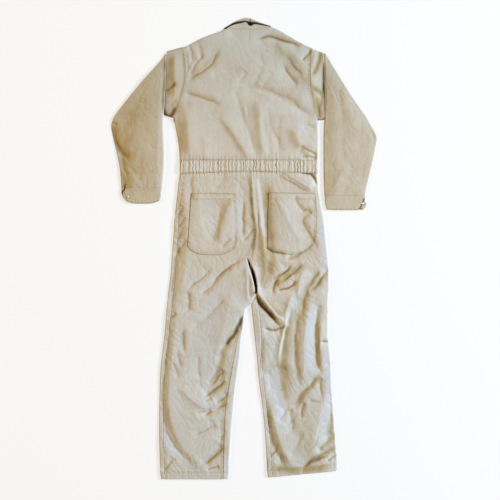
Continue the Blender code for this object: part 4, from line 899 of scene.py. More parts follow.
def body_height(x, y):
    """Outer face of the upper layer of the body and the legs."""
    wx, wy = wander(x, y, BODY_SEED)
    z = TOP + crease_depth() * lifted(wx, wy, BODY_FOLDS)
    z += (1.6 - 0.8 * smoothstep((y - WAIST_SEAM) / 60)) * crumple(x, y, 5)
    z -= edge_sink(x, y, BODY_EDGES)
    for away, waist in ((y - WAIST_TOP, ABOVE_WAIST), (waist_seam(x) - y, BELOW_WAIST)):
        drawn = waist.gather * gathers(x, GATHER_PITCH, GATHER_SEED) * np.exp(-away / waist.reach)
        puff = waist.puff * np.exp(-(((away - waist.puff_at) / waist.puff_width) ** 2))
        z += np.where(away > 0, drawn, 0)
        z += np.where(away > 0, puff - waist.sink * np.exp(-away / SINK_REACH), 0)
    z += seam_relief(x, y)
    return LEAST + (MOST - LEAST) * np.tanh(np.maximum(z - LEAST, 0) / (MOST - LEAST))


def toned(x, y, bands):
    """How strongly the bands paint shade or light into each point, 0 to about 1."""
    tone = np.zeros(x.shape)
    for band in bands:
        line = smooth_line(band.path, PATH_STEPS)
        near = close_to(line, BAND_REACH * band.width, x, y)
        if near.any():
            away, _, share = near_line(line, x[near], y[near])
            here = band.depth * fading(share, BAND_FADE) * np.exp(-((away / band.width) ** 2))
            tone[near] = np.maximum(tone[near], here)
    return tone * (1 + 0.4 * noise(x, y, 16, 30, 8))


def body_shade(x, y):
    """Painted shade of the body and the legs, or painted light where it is below 0."""
    wx, wy = wander(x, y, BODY_SEED)
    dark = creased(wx, wy, BODY_FOLDS) + toned(wx, wy, BODY_PAINTED_SHADE)
    return np.clip(dark - toned(wx, wy, BODY_PAINTED_LIGHT), -1.0, 1.0)


def sleeve_height(folds, edges, seed, crumpled):
    """The outer face of one sleeve, as a function of the place."""
    def height(x, y):
        wx, wy = wander(x, y, seed)
        z = SLEEVE_TOP + crease_depth() * lifted(wx, wy, folds) + crumpled * crumple(x, y, seed)
        return np.clip(z - edge_sink(x, y, edges), LEAST + 0.6, MOST)

    return height


left_sleeve_height = sleeve_height(LEFT_SLEEVE_FOLDS, LEFT_SLEEVE_EDGES, 40, 1.1)
right_sleeve_height = sleeve_height(RIGHT_SLEEVE_FOLDS, RIGHT_SLEEVE_EDGES, 50, 0.8)


def under_height(x, y):
    """The lower layer's outer face: on the surface, but for the hollows of its creases."""
    return np.maximum(0.9 * crumple(x, y, 90) - 0.35, 0.0)


def rolled(edge, side, arcs):
    """(x, share of the way up) at lengths of cloth from a rolled edge's outermost line."""
    arcs = np.asarray(arcs, float)
    angle = np.clip(arcs / ARC, -1, 1) * math.pi / 2
    x = edge - side * (ROLL * (1 - np.cos(angle)) + np.maximum(np.abs(arcs) - ARC, 0))
    return x, (1 + np.sin(angle)) / 2


def loft(rows, step=STEP):
    """A fine surface through rows of points."""
    gaps = [np.linalg.norm(np.diff(pair, axis=0)[0, :, :2], axis=1).max() for pair in zip(rows, rows[1:])]
    return rounded(rows, [max(1, round(gap / step)) for gap in gaps])


def patch(bottom, top, left, right, across, up):
    """Plan points of a surface between four edge lines."""
    u, v = np.asarray(across)[None, :, None], np.asarray(up)[:, None, None]
    bottom, top, left, right = (np.asarray(line, float) for line in (bottom, top, left, right))
    corners = (
        (1 - u) * (1 - v) * bottom[0] + u * (1 - v) * bottom[-1] + (1 - u) * v * top[0] + u * v * top[-1]
    )
    ends = (1 - v) * along(bottom, across)[None] + v * along(top, across)[None]
    sides = (1 - u) * along(left, up)[:, None] + u * along(right, up)[:, None]
    return ends + sides - corners


def shares(length, step=STEP, start=(), end=()):
    """Shares of a length, closer at its ends where distances in from them are given."""
    low = [value / length for value in start] or [0.0]
    high = [1 - value / length for value in reversed(end)] or [1.0]
    count = max(2, round((high[0] - low[-1]) * length / step) + 1)
    return np.array([*low[:-1], *np.linspace(low[-1], high[0], count), *high[1:]])


# ---- pieces of cloth


def grid_object(name, points, shade):
    """A surface through rows of points, in millimetres, shaped from a grid. It has its UV map in
    metres of cloth, and its painted shade, from 1 where it is darkest to -1 where it is fully lit."""
    rows, columns = points.shape[:2]
    mesh = bmesh.new()
    bmesh.ops.create_grid(mesh, x_segments=columns - 1, y_segments=rows - 1, size=0.5)
    made = mesh_object(name, mesh)
    data = made.data
    flat = np.zeros(len(data.vertices) * 3)
    data.vertices.foreach_get("co", flat)
    flat = flat.reshape(-1, 3)
    column = np.rint((flat[:, 0] + 0.5) * (columns - 1)).astype(int)
    row = np.rint((flat[:, 1] + 0.5) * (rows - 1)).astype(int)
    data.vertices.foreach_set("co", (points[row, column] * MM).ravel())
    data.attributes.new("shade", "FLOAT", "POINT").data.foreach_set("value", shade[row, column])
    cloth = np.zeros((rows, columns, 2))
    cloth[:, 1:, 0] = np.cumsum(np.linalg.norm(np.diff(points, axis=1), axis=2), axis=1)
    cloth[1:, :, 1] = np.cumsum(np.linalg.norm(np.diff(points, axis=0), axis=2), axis=0)
    corners = np.zeros(len(data.loops), int)
    data.loops.foreach_get("vertex_index", corners)
    flat_map = data.uv_layers.new(name="cloth")
    flat_map.data.foreach_set("uv", (cloth[row, column][corners] * MM).ravel())
    return made


def stitched(name, x, y, z):
    """How strongly each point of a piece is drawn in by the rows of stitching on it."""
    drawn = np.zeros(x.shape)
    for seam in seams():
        if name not in seam.pieces:
            continue
        for away in seam.rows:
            line = beside(seam.path, away)
            near = close_to(line, PUCKER_REACH, x, y) & (z > LEAST)
            if near.any():
                apart, _, share = near_line(line[::3], x[near], y[near])
                beat = share * lengths_along(line)[-1] / PUCKER_LENGTH
                beat = 0.62 + 0.38 * np.sin(2 * math.pi * (beat + 0.3 * np.sin(beat * 1.7)))
                drawn[near] = np.maximum(drawn[near], beat * np.exp(-((apart / PUCKER_WIDTH) ** 2)))
    return drawn


def add_cloth(name, points, nodes, shade=0.0, offset=-1.0, thickness=None):
    """A cloth shell."""
    drawn = stitched(name.removeprefix("cloth_"), *np.moveaxis(points, -1, 0))
    points[..., 2] -= SEAM_SINK * drawn
    # The puckers sink the cloth, and painted shade darkens them.
    made = grid_object(name, points, np.minimum(shade + SEAM_SHADE * drawn, 1.0))
    wall = made.modifiers.new("cloth", "SOLIDIFY")
    wall.thickness = thickness or bpy.context.scene.suit_cloth.thickness
    wall.offset = offset
    made.data.materials.append(twill())
    finish_piece(made, nodes)
    return made


def finish_piece(made, nodes=()):
    """What a piece rides on, and the nodes it stands for."""
    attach(made, "root")
    if nodes:
        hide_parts(*nodes)


def with_height(plan, height, low=None):
    """Rows of (x, y, share up) turned into points on the cloth."""
    x, y, up = plan[..., 0], plan[..., 1], np.clip(plan[..., 2], 0, 1)
    base = under_height(x, y) if low is None else low
    z = base + up * (height(x, y) - base)
    return np.stack([x, y, z], -1)


def leg_side(row, side):
    """(outermost line, arc of the seam, whether it is a rolled edge) of one side of a leg row."""
    value, arc = (row.left, row.left_arc) if side < 0 else (row.right, row.right_arc)
    if arc == SEAM:
        return value + side * ROLL, ARC, False
    if arc == GAP:
        return value, GAP_ARC, False
    return value, arc, True


def tilted(row, x, up):
    """Points of (x, y, share of the way up) on a row that may run at a slope."""
    return np.stack([x, row.y + row.tilt * (x - CENTRE), up], -1)


def upper_row(row):
    """A back leg at a row: from seam to seam over the top."""
    ends = []
    for side in (-1, 1):
        edge, arc, rolls = leg_side(row, side)
        start = max(arc, LOWEST_SEAM) if rolls and arc > UNDER else arc
        start = start + SEAM_GAP / 2
        ends.append(rolled(edge, side, start + np.array(SEAM_STEPS)))
    (left, left_up), (right, right_up) = ends
    middle = np.linspace(left[-1], right[-1], LEG_COLUMNS)[1:-1]
    x = np.concatenate([left, middle, right[::-1]])
    return tilted(row, x, np.concatenate([left_up, np.ones(len(middle)), right_up[::-1]]))


def lower_side(row, side):
    """One side of a front leg at a row, from the flat part outward."""
    edge, arc, rolls = leg_side(row, side)
    back = np.linspace(SIDE_REACH, 0, SIDE_STEPS)
    if not rolls:
        return CENTRE - side * (SEAM_GAP / 2 + back), np.zeros(len(back))
    if arc == UNDER:
        return rolled(edge, side, -ARC - SEAM_GAP - back)
    arc -= SEAM_GAP / 2
    turned = min(arc - 0.6, ARC)
    stops = np.concatenate([
        np.linspace(-ARC, turned, SIDE_STEPS - 5),
        np.linspace(turned, max(arc, turned + 0.5), 6)[1:],
    ])
    return rolled(edge, side, stops)


def lower_row(row):
    """A front leg at a row: seam, round the edge, underneath, round the other edge."""
    (left, left_up), (right, right_up) = lower_side(row, -1), lower_side(row, 1)
    middle = np.linspace(left[0], right[0], 22)[1:-1]
    x = np.concatenate([left[::-1], middle, right])
    return tilted(row, x, np.concatenate([left_up[::-1], np.zeros(len(middle)), right_up]))


def near_shade(line, x, y, reach):
    """1 close to a line that is deep in shade, and 0 away from it."""
    away = near_line(line, x, y)[0]
    return 1 - smoothstep((away - reach * 0.7) / (reach * 0.6))


def outward(side, points, shade):
    """The same rows, turned round on the right side so that the cloth faces outward there too."""
    return (points[:, ::-1], shade[:, ::-1]) if side > 0 else (points, shade)


def add_legs():
    """The back legs from seam to seam, and the front legs round their edges and underneath."""
    for name, table in (("left", LEFT_LEG), ("right", RIGHT_LEG)):
        upper = with_height(loft([upper_row(row) for row in table]), body_height)
        shade = body_shade(upper[..., 0], upper[..., 1])
        add_cloth(
            f"cloth_leg_back_{name}", upper[::-1], [f"leg_back_{name}"], shade[::-1],
        )
        lower = with_height(loft([lower_row(row) for row in table]), body_height)
        # Painted shade on the lower layer, darkest down in the crotch opening.
        shade = near_shade(CROTCH_SHADE, lower[..., 0], lower[..., 1], 12)
        shade *= lower[..., 2] < CROTCH_SHADE_TOP
        add_cloth(f"cloth_leg_front_{name}", lower[::-1, ::-1], [f"leg_front_{name}"], shade[::-1, ::-1])


def moved(points, dx=0.0, dy=0.0):
    return [(x + dx, y + dy) for x, y in points]


def body_side(side):
    """An edge line of the upper back, from the waist up the side and the armhole."""
    sides, armhole, shoulder = (
        (BACK_LEFT_SIDE, BACK_LEFT_ARMHOLE, LEFT_SHOULDER[0]) if side < 0
        else (BACK_RIGHT_SIDE, BACK_RIGHT_ARMHOLE, RIGHT_SHOULDER[-1])
    )
    return smooth_line([*sides, *armhole, shoulder])


def neck_line():
    return smooth_line([LEFT_SHOULDER[-1], *NECK, RIGHT_SHOULDER[0]])


def body_rims():
    """The lines where the upper back rolls down to the surface: its sides and its shoulders."""
    return [smooth_line(line) for line in (BACK_LEFT_SIDE, BACK_RIGHT_SIDE, LEFT_SHOULDER, RIGHT_SHOULDER)]


def rim_height(rims, x, y, z):
    """The height z of the cloth, brought down where it rolls over a rim."""
    away = np.min([near_line(rim, x, y)[0] for rim in rims], axis=0)
    inward = np.clip(away / RIM_ROLL, 0, 1)
    return RIM_END + (z - RIM_END) * np.sqrt(np.maximum(1 - (1 - inward) ** 2, 0))


def add_back():
    """The upper back, from the waist to the neck and from armhole to armhole."""
    left, right = body_side(-1), body_side(1)
    rims = body_rims()
    top = np.concatenate([rims[2], neck_line()[1:], rims[3][1:]])
    across = shares(490, STEP, EDGE_STEPS, EDGE_STEPS)
    up = shares(420, STEP, (), EDGE_STEPS)
    plan = patch([left[0], (CENTRE, WAIST_TOP), right[0]], top, left, right, across, up)
    x, y = plan[..., 0], plan[..., 1]
    points = np.stack([x, y, rim_height(rims, x, y, body_height(x, y))], -1)
    add_cloth("cloth_back", points, ["back"], body_shade(x, y))


def flat_points(plan):
    """Points of the lower layer, on the surface."""
    x, y = plan[..., 0], plan[..., 1]
    return np.stack([x, y, under_height(x, y)], -1)


def add_front(name, side, sides, armhole, shoulder, neck):
    """One front, from its side and armhole to the strip."""
    gap = SEAM_GAP / 2
    outer = moved(sides, dx=-side * UNDER_INSET) + moved(armhole, dx=-side * ARMHOLE_INSET)
    top = moved(shoulder, -side * SHOULDER_INSET[0], -SHOULDER_INSET[1])
    inner = CENTRE + side * (PLACKET_WIDTH / 2 + gap)
    neck_end = (inner, neck[-1][1])
    outer = smooth_line([(outer[0][0], WAIST_TOP + gap), *outer[1:], top[0]])
    top = smooth_line([*top[:-1], *neck, neck_end])
    inside = [(inner, WAIST_TOP + gap), neck_end]
    plan = patch([outer[0], inside[0]], top, outer, inside, shares(220, 6), shares(440, 6))
    points = flat_points(plan if side > 0 else plan[:, ::-1])
    add_cloth(f"cloth_front_{name}", points, [f"front_{name}"])


def add_placket():
    """The strip over the centre front."""
    low, high = WAIST_TOP + SEAM_GAP / 2, FRONT_NECK[3][1]
    half = PLACKET_WIDTH / 2 - SEAM_GAP / 2
    right, left = CENTRE + half, CENTRE - half
    plan = patch(
        [(right, low), (left, low)], [(right, high), (left, high)],
        [(right, low), (right, high)], [(left, low), (left, high)], shares(36, 5), shares(450, 6),
    )
    add_cloth("cloth_placket", flat_points(plan), ["front_placket"])


def add_front_waistband():
    """The plain waistband underneath."""
    left, right = BACK_LEFT_SIDE[0][0] + UNDER_INSET, BACK_RIGHT_SIDE[0][0] - UNDER_INSET
    x = np.linspace(right, left, 90)
    up = np.linspace(0, 1, 10)[:, None]
    y = (waist_seam(x) + SEAM_GAP) * (1 - up) + (WAIST_TOP - SEAM_GAP / 2) * up
    z = np.maximum(0.7 * gathers(x, 14, 60) - 0.2, 0) + 0 * y
    add_cloth("cloth_waistband_front", np.stack([x + 0 * y, y, z], -1), ["waistband_front"])


def add_fronts():
    """The two fronts, their strip and the front waistband, underneath."""
    add_front("left", -1, BACK_LEFT_SIDE, BACK_LEFT_ARMHOLE, LEFT_SHOULDER, FRONT_NECK[:3])
    add_front("right", 1, BACK_RIGHT_SIDE, BACK_RIGHT_ARMHOLE, RIGHT_SHOULDER[::-1], FRONT_NECK[:3:-1])
    add_placket()
    add_front_waistband()


def add_waistband():
    """The elastic back waist, gathered, with its rows of stitching pulled in."""
    left, right = BACK_LEFT_SIDE[0][0], BACK_RIGHT_SIDE[0][0]
    x = left + (right - left) * shares(right - left, 1.55, EDGE_STEPS[:-2], EDGE_STEPS[:-2])
    up = shares(44, 2.2)[:, None]
    low, high = waist_seam(x) + SEAM_GAP, WAIST_TOP - SEAM_GAP + 0 * x
    y = low * (1 - up) + high * up
    x = x + 0 * y
    base = TOP + 0.9 * noise(x, y, 60, 60, 12) + 0.6
    sway = x + 3.8 * noise(x, y, 19, 15, 14)
    crest = 0.5 + 0.5 * gathers(sway, GATHER_PITCH, GATHER_SEED) + 0.26 * gathers(sway, 7.3, 9)
    pinch = 1 - 0.3 * sum(np.exp(-(((up - row) / 0.06) ** 2)) for row in (0.06, 0.95))
    deep = 2.6 * (1 + 0.75 * noise(x, y, 16, 28, 15))
    z = base + deep * (np.abs(crest) ** 0.8 - 0.5) * pinch - 1.1 * (2 * np.abs(up - 0.5)) ** 6
    rims = [[(edge, 220.5), (edge, 343)] for edge in (left, right)]
    points = np.stack([x, y, rim_height(rims, x, y, z)], -1)
    add_cloth("cloth_waistband", points, ["waistband_back"])


def arm_row(section, side):
    """Round a sleeve at a section, from its underarm seam to the same seam again."""
    outer, inner = section.outer, section.inner
    width = abs(outer - inner)
    scale = min(1.0, 0.4 * width / ROLL)
    back = min(10.0, 0.3 * (width - 2 * ROLL * scale))
    arcs = np.linspace(-ARC, ARC, 11)
    inner_x, inner_up = rolled(0, -side, arcs)
    outer_x, outer_up = rolled(0, side, arcs[::-1])
    inner_x, outer_x = inner + inner_x * scale, outer + outer_x * scale
    top = np.linspace(inner_x[-1], outer_x[0], 52)[1:-1]
    seam = inner + side * (ROLL * scale + back)
    start = np.linspace(seam, inner_x[0], 4)[:-1]
    under = np.linspace(outer_x[-1], seam + side * SEAM_GAP, 34)[1:]
    x = np.concatenate([start, inner_x, top, outer_x, under])
    up = np.concatenate([0 * start, inner_up, 0 * top + 1, outer_up, 0 * under])
    return np.stack([x, section.y + 0 * x, up], -1)


def add_sleeve(name, side, table, height, folds, bands, slit):
    """A sleeve below its head, all round the arm."""
    points = with_height(loft([arm_row(section, side) for section in table]), height)
    x, y, z = np.moveaxis(points, -1, 0)
    # Painted shade: the sleeves' browner tone, the shade bands, the sharp creases and the end of the slit.
    shade = SLEEVE_SHADE + toned(x, y, bands) + creased(x, y, folds) * (z > LEAST)
    shade = np.clip(np.maximum(shade, SLIT_SHADE * near_shade(slit, x, y, SLIT_REACH)), 0, 1)
    points, shade = outward(side, points, shade)
    add_cloth(f"cloth_sleeve_{name}", points, [f"sleeve_{name}_arm"], shade)


def add_sleeves():
    add_sleeve(
        "left", -1, LEFT_ARM, left_sleeve_height, LEFT_SLEEVE_FOLDS, LEFT_SLEEVE_PAINTED_SHADE, LEFT_SLIT_SHADE,
    )
    add_sleeve(
        "right", 1, RIGHT_ARM, right_sleeve_height, RIGHT_SLEEVE_FOLDS, RIGHT_SLEEVE_PAINTED_SHADE, RIGHT_SLIT_SHADE,
    )


def armhole_points(side):
    """Points down an armhole to the underarm, and the height of the back at each."""
    underarm = (BACK_LEFT_SIDE if side < 0 else BACK_RIGHT_SIDE)[-1][1]
    seam = along(body_side(side), np.linspace(0, 1, 200))
    seam = seam[seam[:, 1] > underarm][::-3]
    x, y = seam[:, 0], seam[:, 1]
    return seam, rim_height(body_rims(), x, y, body_height(x, y))


def arm_fold_points(seam, side, table, ends):
    """The line beside the arm where its sleeve folds down, with a point for each of the seam's."""
    high, low = ends
    line = [(section.inner - side * HEAD_CLEAR, section.y) for section in table if low < section.y < high]
    down = (seam[0, 1] - seam[:, 1]) / (seam[0, 1] - seam[-1, 1])
    return along([(line[0][0], high), *line, (line[-1][0], low)], down)


def head_top(seam, seam_z, inner, side, closed):
    """The upper face of a sleeve head, from the armhole to the fold."""
    start = seam + [side * SEAM_GAP, 0]
    edge_z = 3.6 + 3.6 * closed
    u = np.linspace(0, 1, HEAD_COLUMNS)[None]
    x = start[:, :1] + (inner[:, :1] - side * HEAD_ROLL - start[:, :1]) * u
    y = start[:, 1:] + (inner[:, 1:] - start[:, 1:]) * u
    fold = crease_depth() * lifted(x, y, HEAD_FOLDS) + 0.5 * crumple(x, y, 70)
    z = seam_z[:, None] * (1 - smoothstep(u)) + edge_z * smoothstep(u)
    z = np.maximum(z + fold * closed * np.sin(math.pi * u) ** 0.7, HEAD_LEAST)
    return np.stack([x, y, z], -1)


def head_turn(top, inner, side):
    """The fold itself, round from the upper face down to the surface."""
    turn = np.linspace(math.pi / 2, -math.pi / 2, 7)[None, 1:]
    half = top[:, -1:, 2] / 2
    x = inner[:, :1] - side * HEAD_ROLL * (1 - np.cos(turn))
    return np.stack([x, inner[:, 1:] + 0 * turn, half + half * np.sin(turn)], -1)


def head_under(turn, seam, inner, side, closed):
    """The layer underneath, from the fold back toward the armhole."""
    end = np.where(closed > 0.5, seam[:, :1] - side * UNDER_INSET, seam[:, :1] + side * 1.6)
    v = np.linspace(0, 1, 9)[None, 1:]
    x = turn[:, -1:, 0] + (end - turn[:, -1:, 0]) * v
    y = inner[:, 1:] + (seam[:, 1:] - inner[:, 1:]) * v
    return np.stack([x, y, 0 * x], -1)


def add_heads():
    """The sleeve heads, from the armhole down beside the arm and back underneath."""
    for name, side, table, ends in (
        ("left", -1, LEFT_ARM, LEFT_HEAD_ENDS), ("right", 1, RIGHT_ARM, RIGHT_HEAD_ENDS),
    ):
        seam, seam_z = armhole_points(side)
        inner = arm_fold_points(seam, side, table, ends)
        closed = smoothstep((seam_z - 3.0) / 2.5)[:, None]  # 0 where the back lies too low for a fold
        top = head_top(seam, seam_z, inner, side, closed)
        turn = head_turn(top, inner, side)
        points = np.concatenate([top, turn, head_under(turn, seam, inner, side, closed)], 1)
        # Painted shade: the head's shade bands, and half the sleeves' browner tone.
        shade = np.minimum(toned(points[..., 0], points[..., 1], HEAD_PAINTED_SHADE) + SLEEVE_SHADE / 2, 1)
        points, shade = outward(side, points, shade)
        add_cloth(f"cloth_head_{name}", points, [f"sleeve_{name}_head"], shade)


def cuff_row(section, side):
    """Round a cuff at a section, from one side of its slit to the other."""
    outer, inner = section.outer, section.inner
    slit = outer - side * CUFF_SLIT
    arcs = np.linspace(-ARC, ARC, 9)
    outer_x, outer_up = rolled(outer, side, arcs[::-1])
    inner_x, inner_up = rolled(inner, -side, arcs)
    under = np.linspace(outer_x[-1], inner_x[0], 30)[1:-1]
    top = np.linspace(inner_x[-1], slit - side * SLIT_HALF, 36)[1:]
    start = np.linspace(slit + side * SLIT_HALF, outer_x[0], 4)[:-1]
    x = np.concatenate([start, outer_x, under, inner_x, top])
    up = np.concatenate([0 * start + 1, outer_up, 0 * under, inner_up, 0 * top + 1])
    return np.stack([x, sagging(section, x), up], -1)


def sagging(section, x):
    """How far up the suit each point of a cuff's row is: the row sags below its ends."""
    middle, half = (section.outer + section.inner) / 2, abs(section.outer - section.inner) / 2
    return section.y + section.sag * ((x - middle) / half) ** 4


def cuff_height(side, table, sleeve):
    """A cuff's outer face: level with its sleeve's end, then flatter, with puckers by the edge."""
    def height(x, y):
        down = smoothstep((table[0].y - y) / 14)
        lip = 1.0 * np.exp(-(((x - (table[0].outer - side * CUFF_SLIT)) / 7) ** 2))
        pucker = 0.6 * np.cos(2 * math.pi * (x / 13 + 0.4 * noise(x, 0 * x, 20, 1, 81)))
        low = np.exp(-((y - table[-1].y) / 9) ** 2)
        return SLEEVE_TOP + (1 - 0.4 * down) * (sleeve(x, y) - SLEEVE_TOP) + lip * down + pucker * low

    return height


left_cuff_height = cuff_height(-1, LEFT_CUFF, left_sleeve_height)
right_cuff_height = cuff_height(1, RIGHT_CUFF, right_sleeve_height)


def add_cuffs():
    """The cuffs, which carry on the folds of their sleeves."""
    for name, side, table, height, slit in (
        ("left", -1, LEFT_CUFF, left_cuff_height, LEFT_SLIT_SHADE),
        ("right", 1, RIGHT_CUFF, right_cuff_height, RIGHT_SLIT_SHADE),
    ):
        points = with_height(loft([cuff_row(section, side) for section in table], CUFF_STEP), height)
        # Painted shade at the end of the slit, over the sleeves' browner tone.
        slit_shade = SLIT_SHADE * near_shade(slit, points[..., 0], points[..., 1], SLIT_REACH)
        points, shade = outward(side, points, np.maximum(slit_shade, SLEEVE_SHADE))
        add_cloth(f"cloth_cuff_{name}", points, [f"cuff_{name}"], shade, thickness=CUFF_CLOTH * MM)


def add_pockets():
    """The patch pockets, which lie on the back legs and follow their folds."""
    ends = EDGE_STEPS[1:4]
    for name, outline in (("left", LEFT_POCKET), ("right", RIGHT_POCKET)):
        lines = {key: smooth_line(line) for key, line in outline.items()}
        across, up = ([0, *shares(length, POCKET_STEP, ends, ends), 1] for length in (165, 215))
        plan = patch(lines["bottom"], lines["top"], lines["left"], lines["right"], across, up)
        x, y = plan[..., 0], plan[..., 1]
        edge = np.min([near_line(line, x, y)[0] for line in lines.values()], axis=0)
        puff = 0.8 * smoothstep(edge / 22) + 0.5 * np.maximum(crumple(x, y, 60), 0)
        hem = 0.5 * smoothstep((POCKET_HEM - near_line(lines["top"], x, y)[0]) / 2)
        rim = 0.55 * np.exp(-((edge - 2.6) / 3.0) ** 2)
        cloth = bpy.context.scene.suit_cloth.thickness / MM
        z = np.minimum(body_height(x, y) + cloth + 0.35 + puff + hem + rim, MOST + 1.4)
        # Painted shade from the body, and a painted dark line round the pocket's edge.
        shade = np.minimum(body_shade(x, y) + 0.5 * (1 - smoothstep(edge / 1.6)), 1.0)
        add_cloth(
            f"cloth_pocket_{name}", np.stack([x, y, z], -1), [f"pocket_{name}"], shade,
        )


def collar_rings():
    """The collar's two long edges, from the centre front round the neck to the centre front."""
    neck = neck_line()

    def neck_point(share):
        x, y = along(neck, [share])[0]
        return x, y - 1.0

    low = 761.5  # lower edge at the front
    return [
        Ring((CENTRE + 4, low), 0.9, (CENTRE + 4, 801), 4.6),
        Ring((7, low), 1.0, (5.5, 806.5), 6.0),
        Ring((-28, 761), 1.0, (-21, 798), 5.6),
        Ring((-49, 759.5), 1.0, (-49, 782.5), 4.6),
        Ring((-68, 766), 3.4, (-71.5, 768), 5.0),
        Ring(neck_point(0.09), 8.6, (-63.5, 765.5), 9.4),
        Ring(neck_point(0.17), 10.0, (-47.5, 775), 10.8),
        Ring(neck_point(0.29), 10.2, (-26.5, 782), 11.2),
        Ring(neck_point(0.39), 10.2, (-10, 785), 11.6),
        Ring(neck_point(0.48), 10.2, (6.5, 788), 11.8),
        Ring(neck_point(0.54), 10.2, (17, 777.5), 10.8),
        Ring(neck_point(0.60), 10.2, (26.5, 776.5), 10.6),
        Ring(neck_point(0.66), 10.2, (37, 781.5), 11.4),
        Ring(neck_point(0.78), 10.2, (59.5, 778.5), 11.2),
        Ring(neck_point(0.88), 10.0, (77, 775), 10.8),
        Ring(neck_point(0.94), 8.6, (87, 774), 9.2),
        Ring((89, 774), 3.4, (94.5, 777.5), 5.0),
        Ring((70, 763.5), 1.0, (75.5, 783.5), 4.6),
        Ring((49, low), 1.0, (47, 793.5), 6.0),
        Ring((CENTRE - 2, low), 2.6, (CENTRE - 2, 804.5), 7.0),
    ]


def add_collar():
    """The stand, with painted shade that makes it dark inside where it faces the neck."""
    rings = collar_rings()
    seam = smooth_line([(*ring.seam, ring.seam_z) for ring in rings], COLLAR_STEPS)
    free = smooth_line([(*ring.free, ring.free_z) for ring in rings], COLLAR_STEPS)
    up = np.linspace(0, 1, 15)[:, None, None]
    points = seam[None] + (free - seam)[None] * up
    lower = smoothstep((6.5 - seam[None, :, 2]) / 2)  # 1 on the collar's front, which lies underneath
    rise = up[..., 0]
    z = seam[None, :, 2] + (free - seam)[None, :, 2] * (rise * (1 - lower) + rise ** 3 * lower)
    points[..., 2] = z + 0.35 * np.sin(points[..., 0] / 9) * (1 - lower)
    top = smooth_line(NECK_PAINTED_SHADE_TOP)
    edge = np.interp(points[..., 0], top[:, 0], top[:, 1])
    # Painted shade: the collar's front, seen inside the neck, is darkened below the top line.
    dark = lower * smoothstep((edge + 2 - points[..., 1]) / 4)
    add_cloth("cloth_collar", points, ["collar"], dark, offset=0.0, thickness=COLLAR_CLOTH * MM)


# ---- seams and stitching


def leg_seam(table, side, first):
    """The seam of a leg between its back and its front, from its first place on top down."""
    points = []
    for row in table:
        edge, arc, rolls = leg_side(row, side)
        if rolls and arc > 0 and row.y <= first:
            x = edge - side * (ROLL + arc - ARC)
            points.append((x, row.y + row.tilt * (x - CENTRE)))
    return points


LEFT_OUTSEAM = leg_seam(LEFT_LEG, -1, WAIST_SEAM - 1)
LEFT_INSEAM = leg_seam(LEFT_LEG, 1, LEFT_INSEAM_TOP)
RIGHT_INSEAM = leg_seam(RIGHT_LEG, -1, RIGHT_INSEAM_TOP)
LEFT_ARMHOLE = [*BACK_LEFT_ARMHOLE, LEFT_SHOULDER[0]]
RIGHT_ARMHOLE = [*BACK_RIGHT_ARMHOLE, RIGHT_SHOULDER[-1]]
FELLED = [
    (smooth_line(SEAT_SEAM), 5.0),
    (smooth_line(LEFT_OUTSEAM), 4.5),
    (smooth_line(LEFT_INSEAM), 4.5),
    (smooth_line(RIGHT_INSEAM), 4.5),
    (smooth_line(LEFT_ARMHOLE), 4.5),
    (smooth_line(RIGHT_ARMHOLE), 4.5),
]


def level_line(left, right, y, fall=0.0):
    """A line from left to right whose ends fall away from the centre."""
    x = np.linspace(left, right, 24)
    return np.stack([x, y - fall * np.abs(x - CENTRE)], -1)


def hem_line(table, up):
    """A line across a leg, this far above its hem."""
    row = table[-1]
    x = np.linspace(row.left + 3, row.right - 3, 12)
    return np.stack([x, row.y + up + row.tilt * (x - CENTRE)], -1)


def cuff_line(table, down):
    """A line across a cuff, this far below its top."""
    total = table[0].y - table[-1].y
    stops = np.interp(down / total, [(table[0].y - row.y) / total for row in table], range(len(table)))
    before, after = table[int(stops)], table[min(int(stops) + 1, len(table) - 1)]
    mixed = Cuff(*(a + (b - a) * (stops - int(stops)) for a, b in zip(before, after)))
    x = np.linspace(mixed.outer, mixed.inner, 22)[1:-1]
    return np.stack([x, sagging(mixed, x)], -1)


def pocket_round(outline):
    """Down one side of a pocket, round its bottom and up the other side."""
    return [*outline["left"][::-1], *outline["bottom"][1:], *outline["right"][1:]]


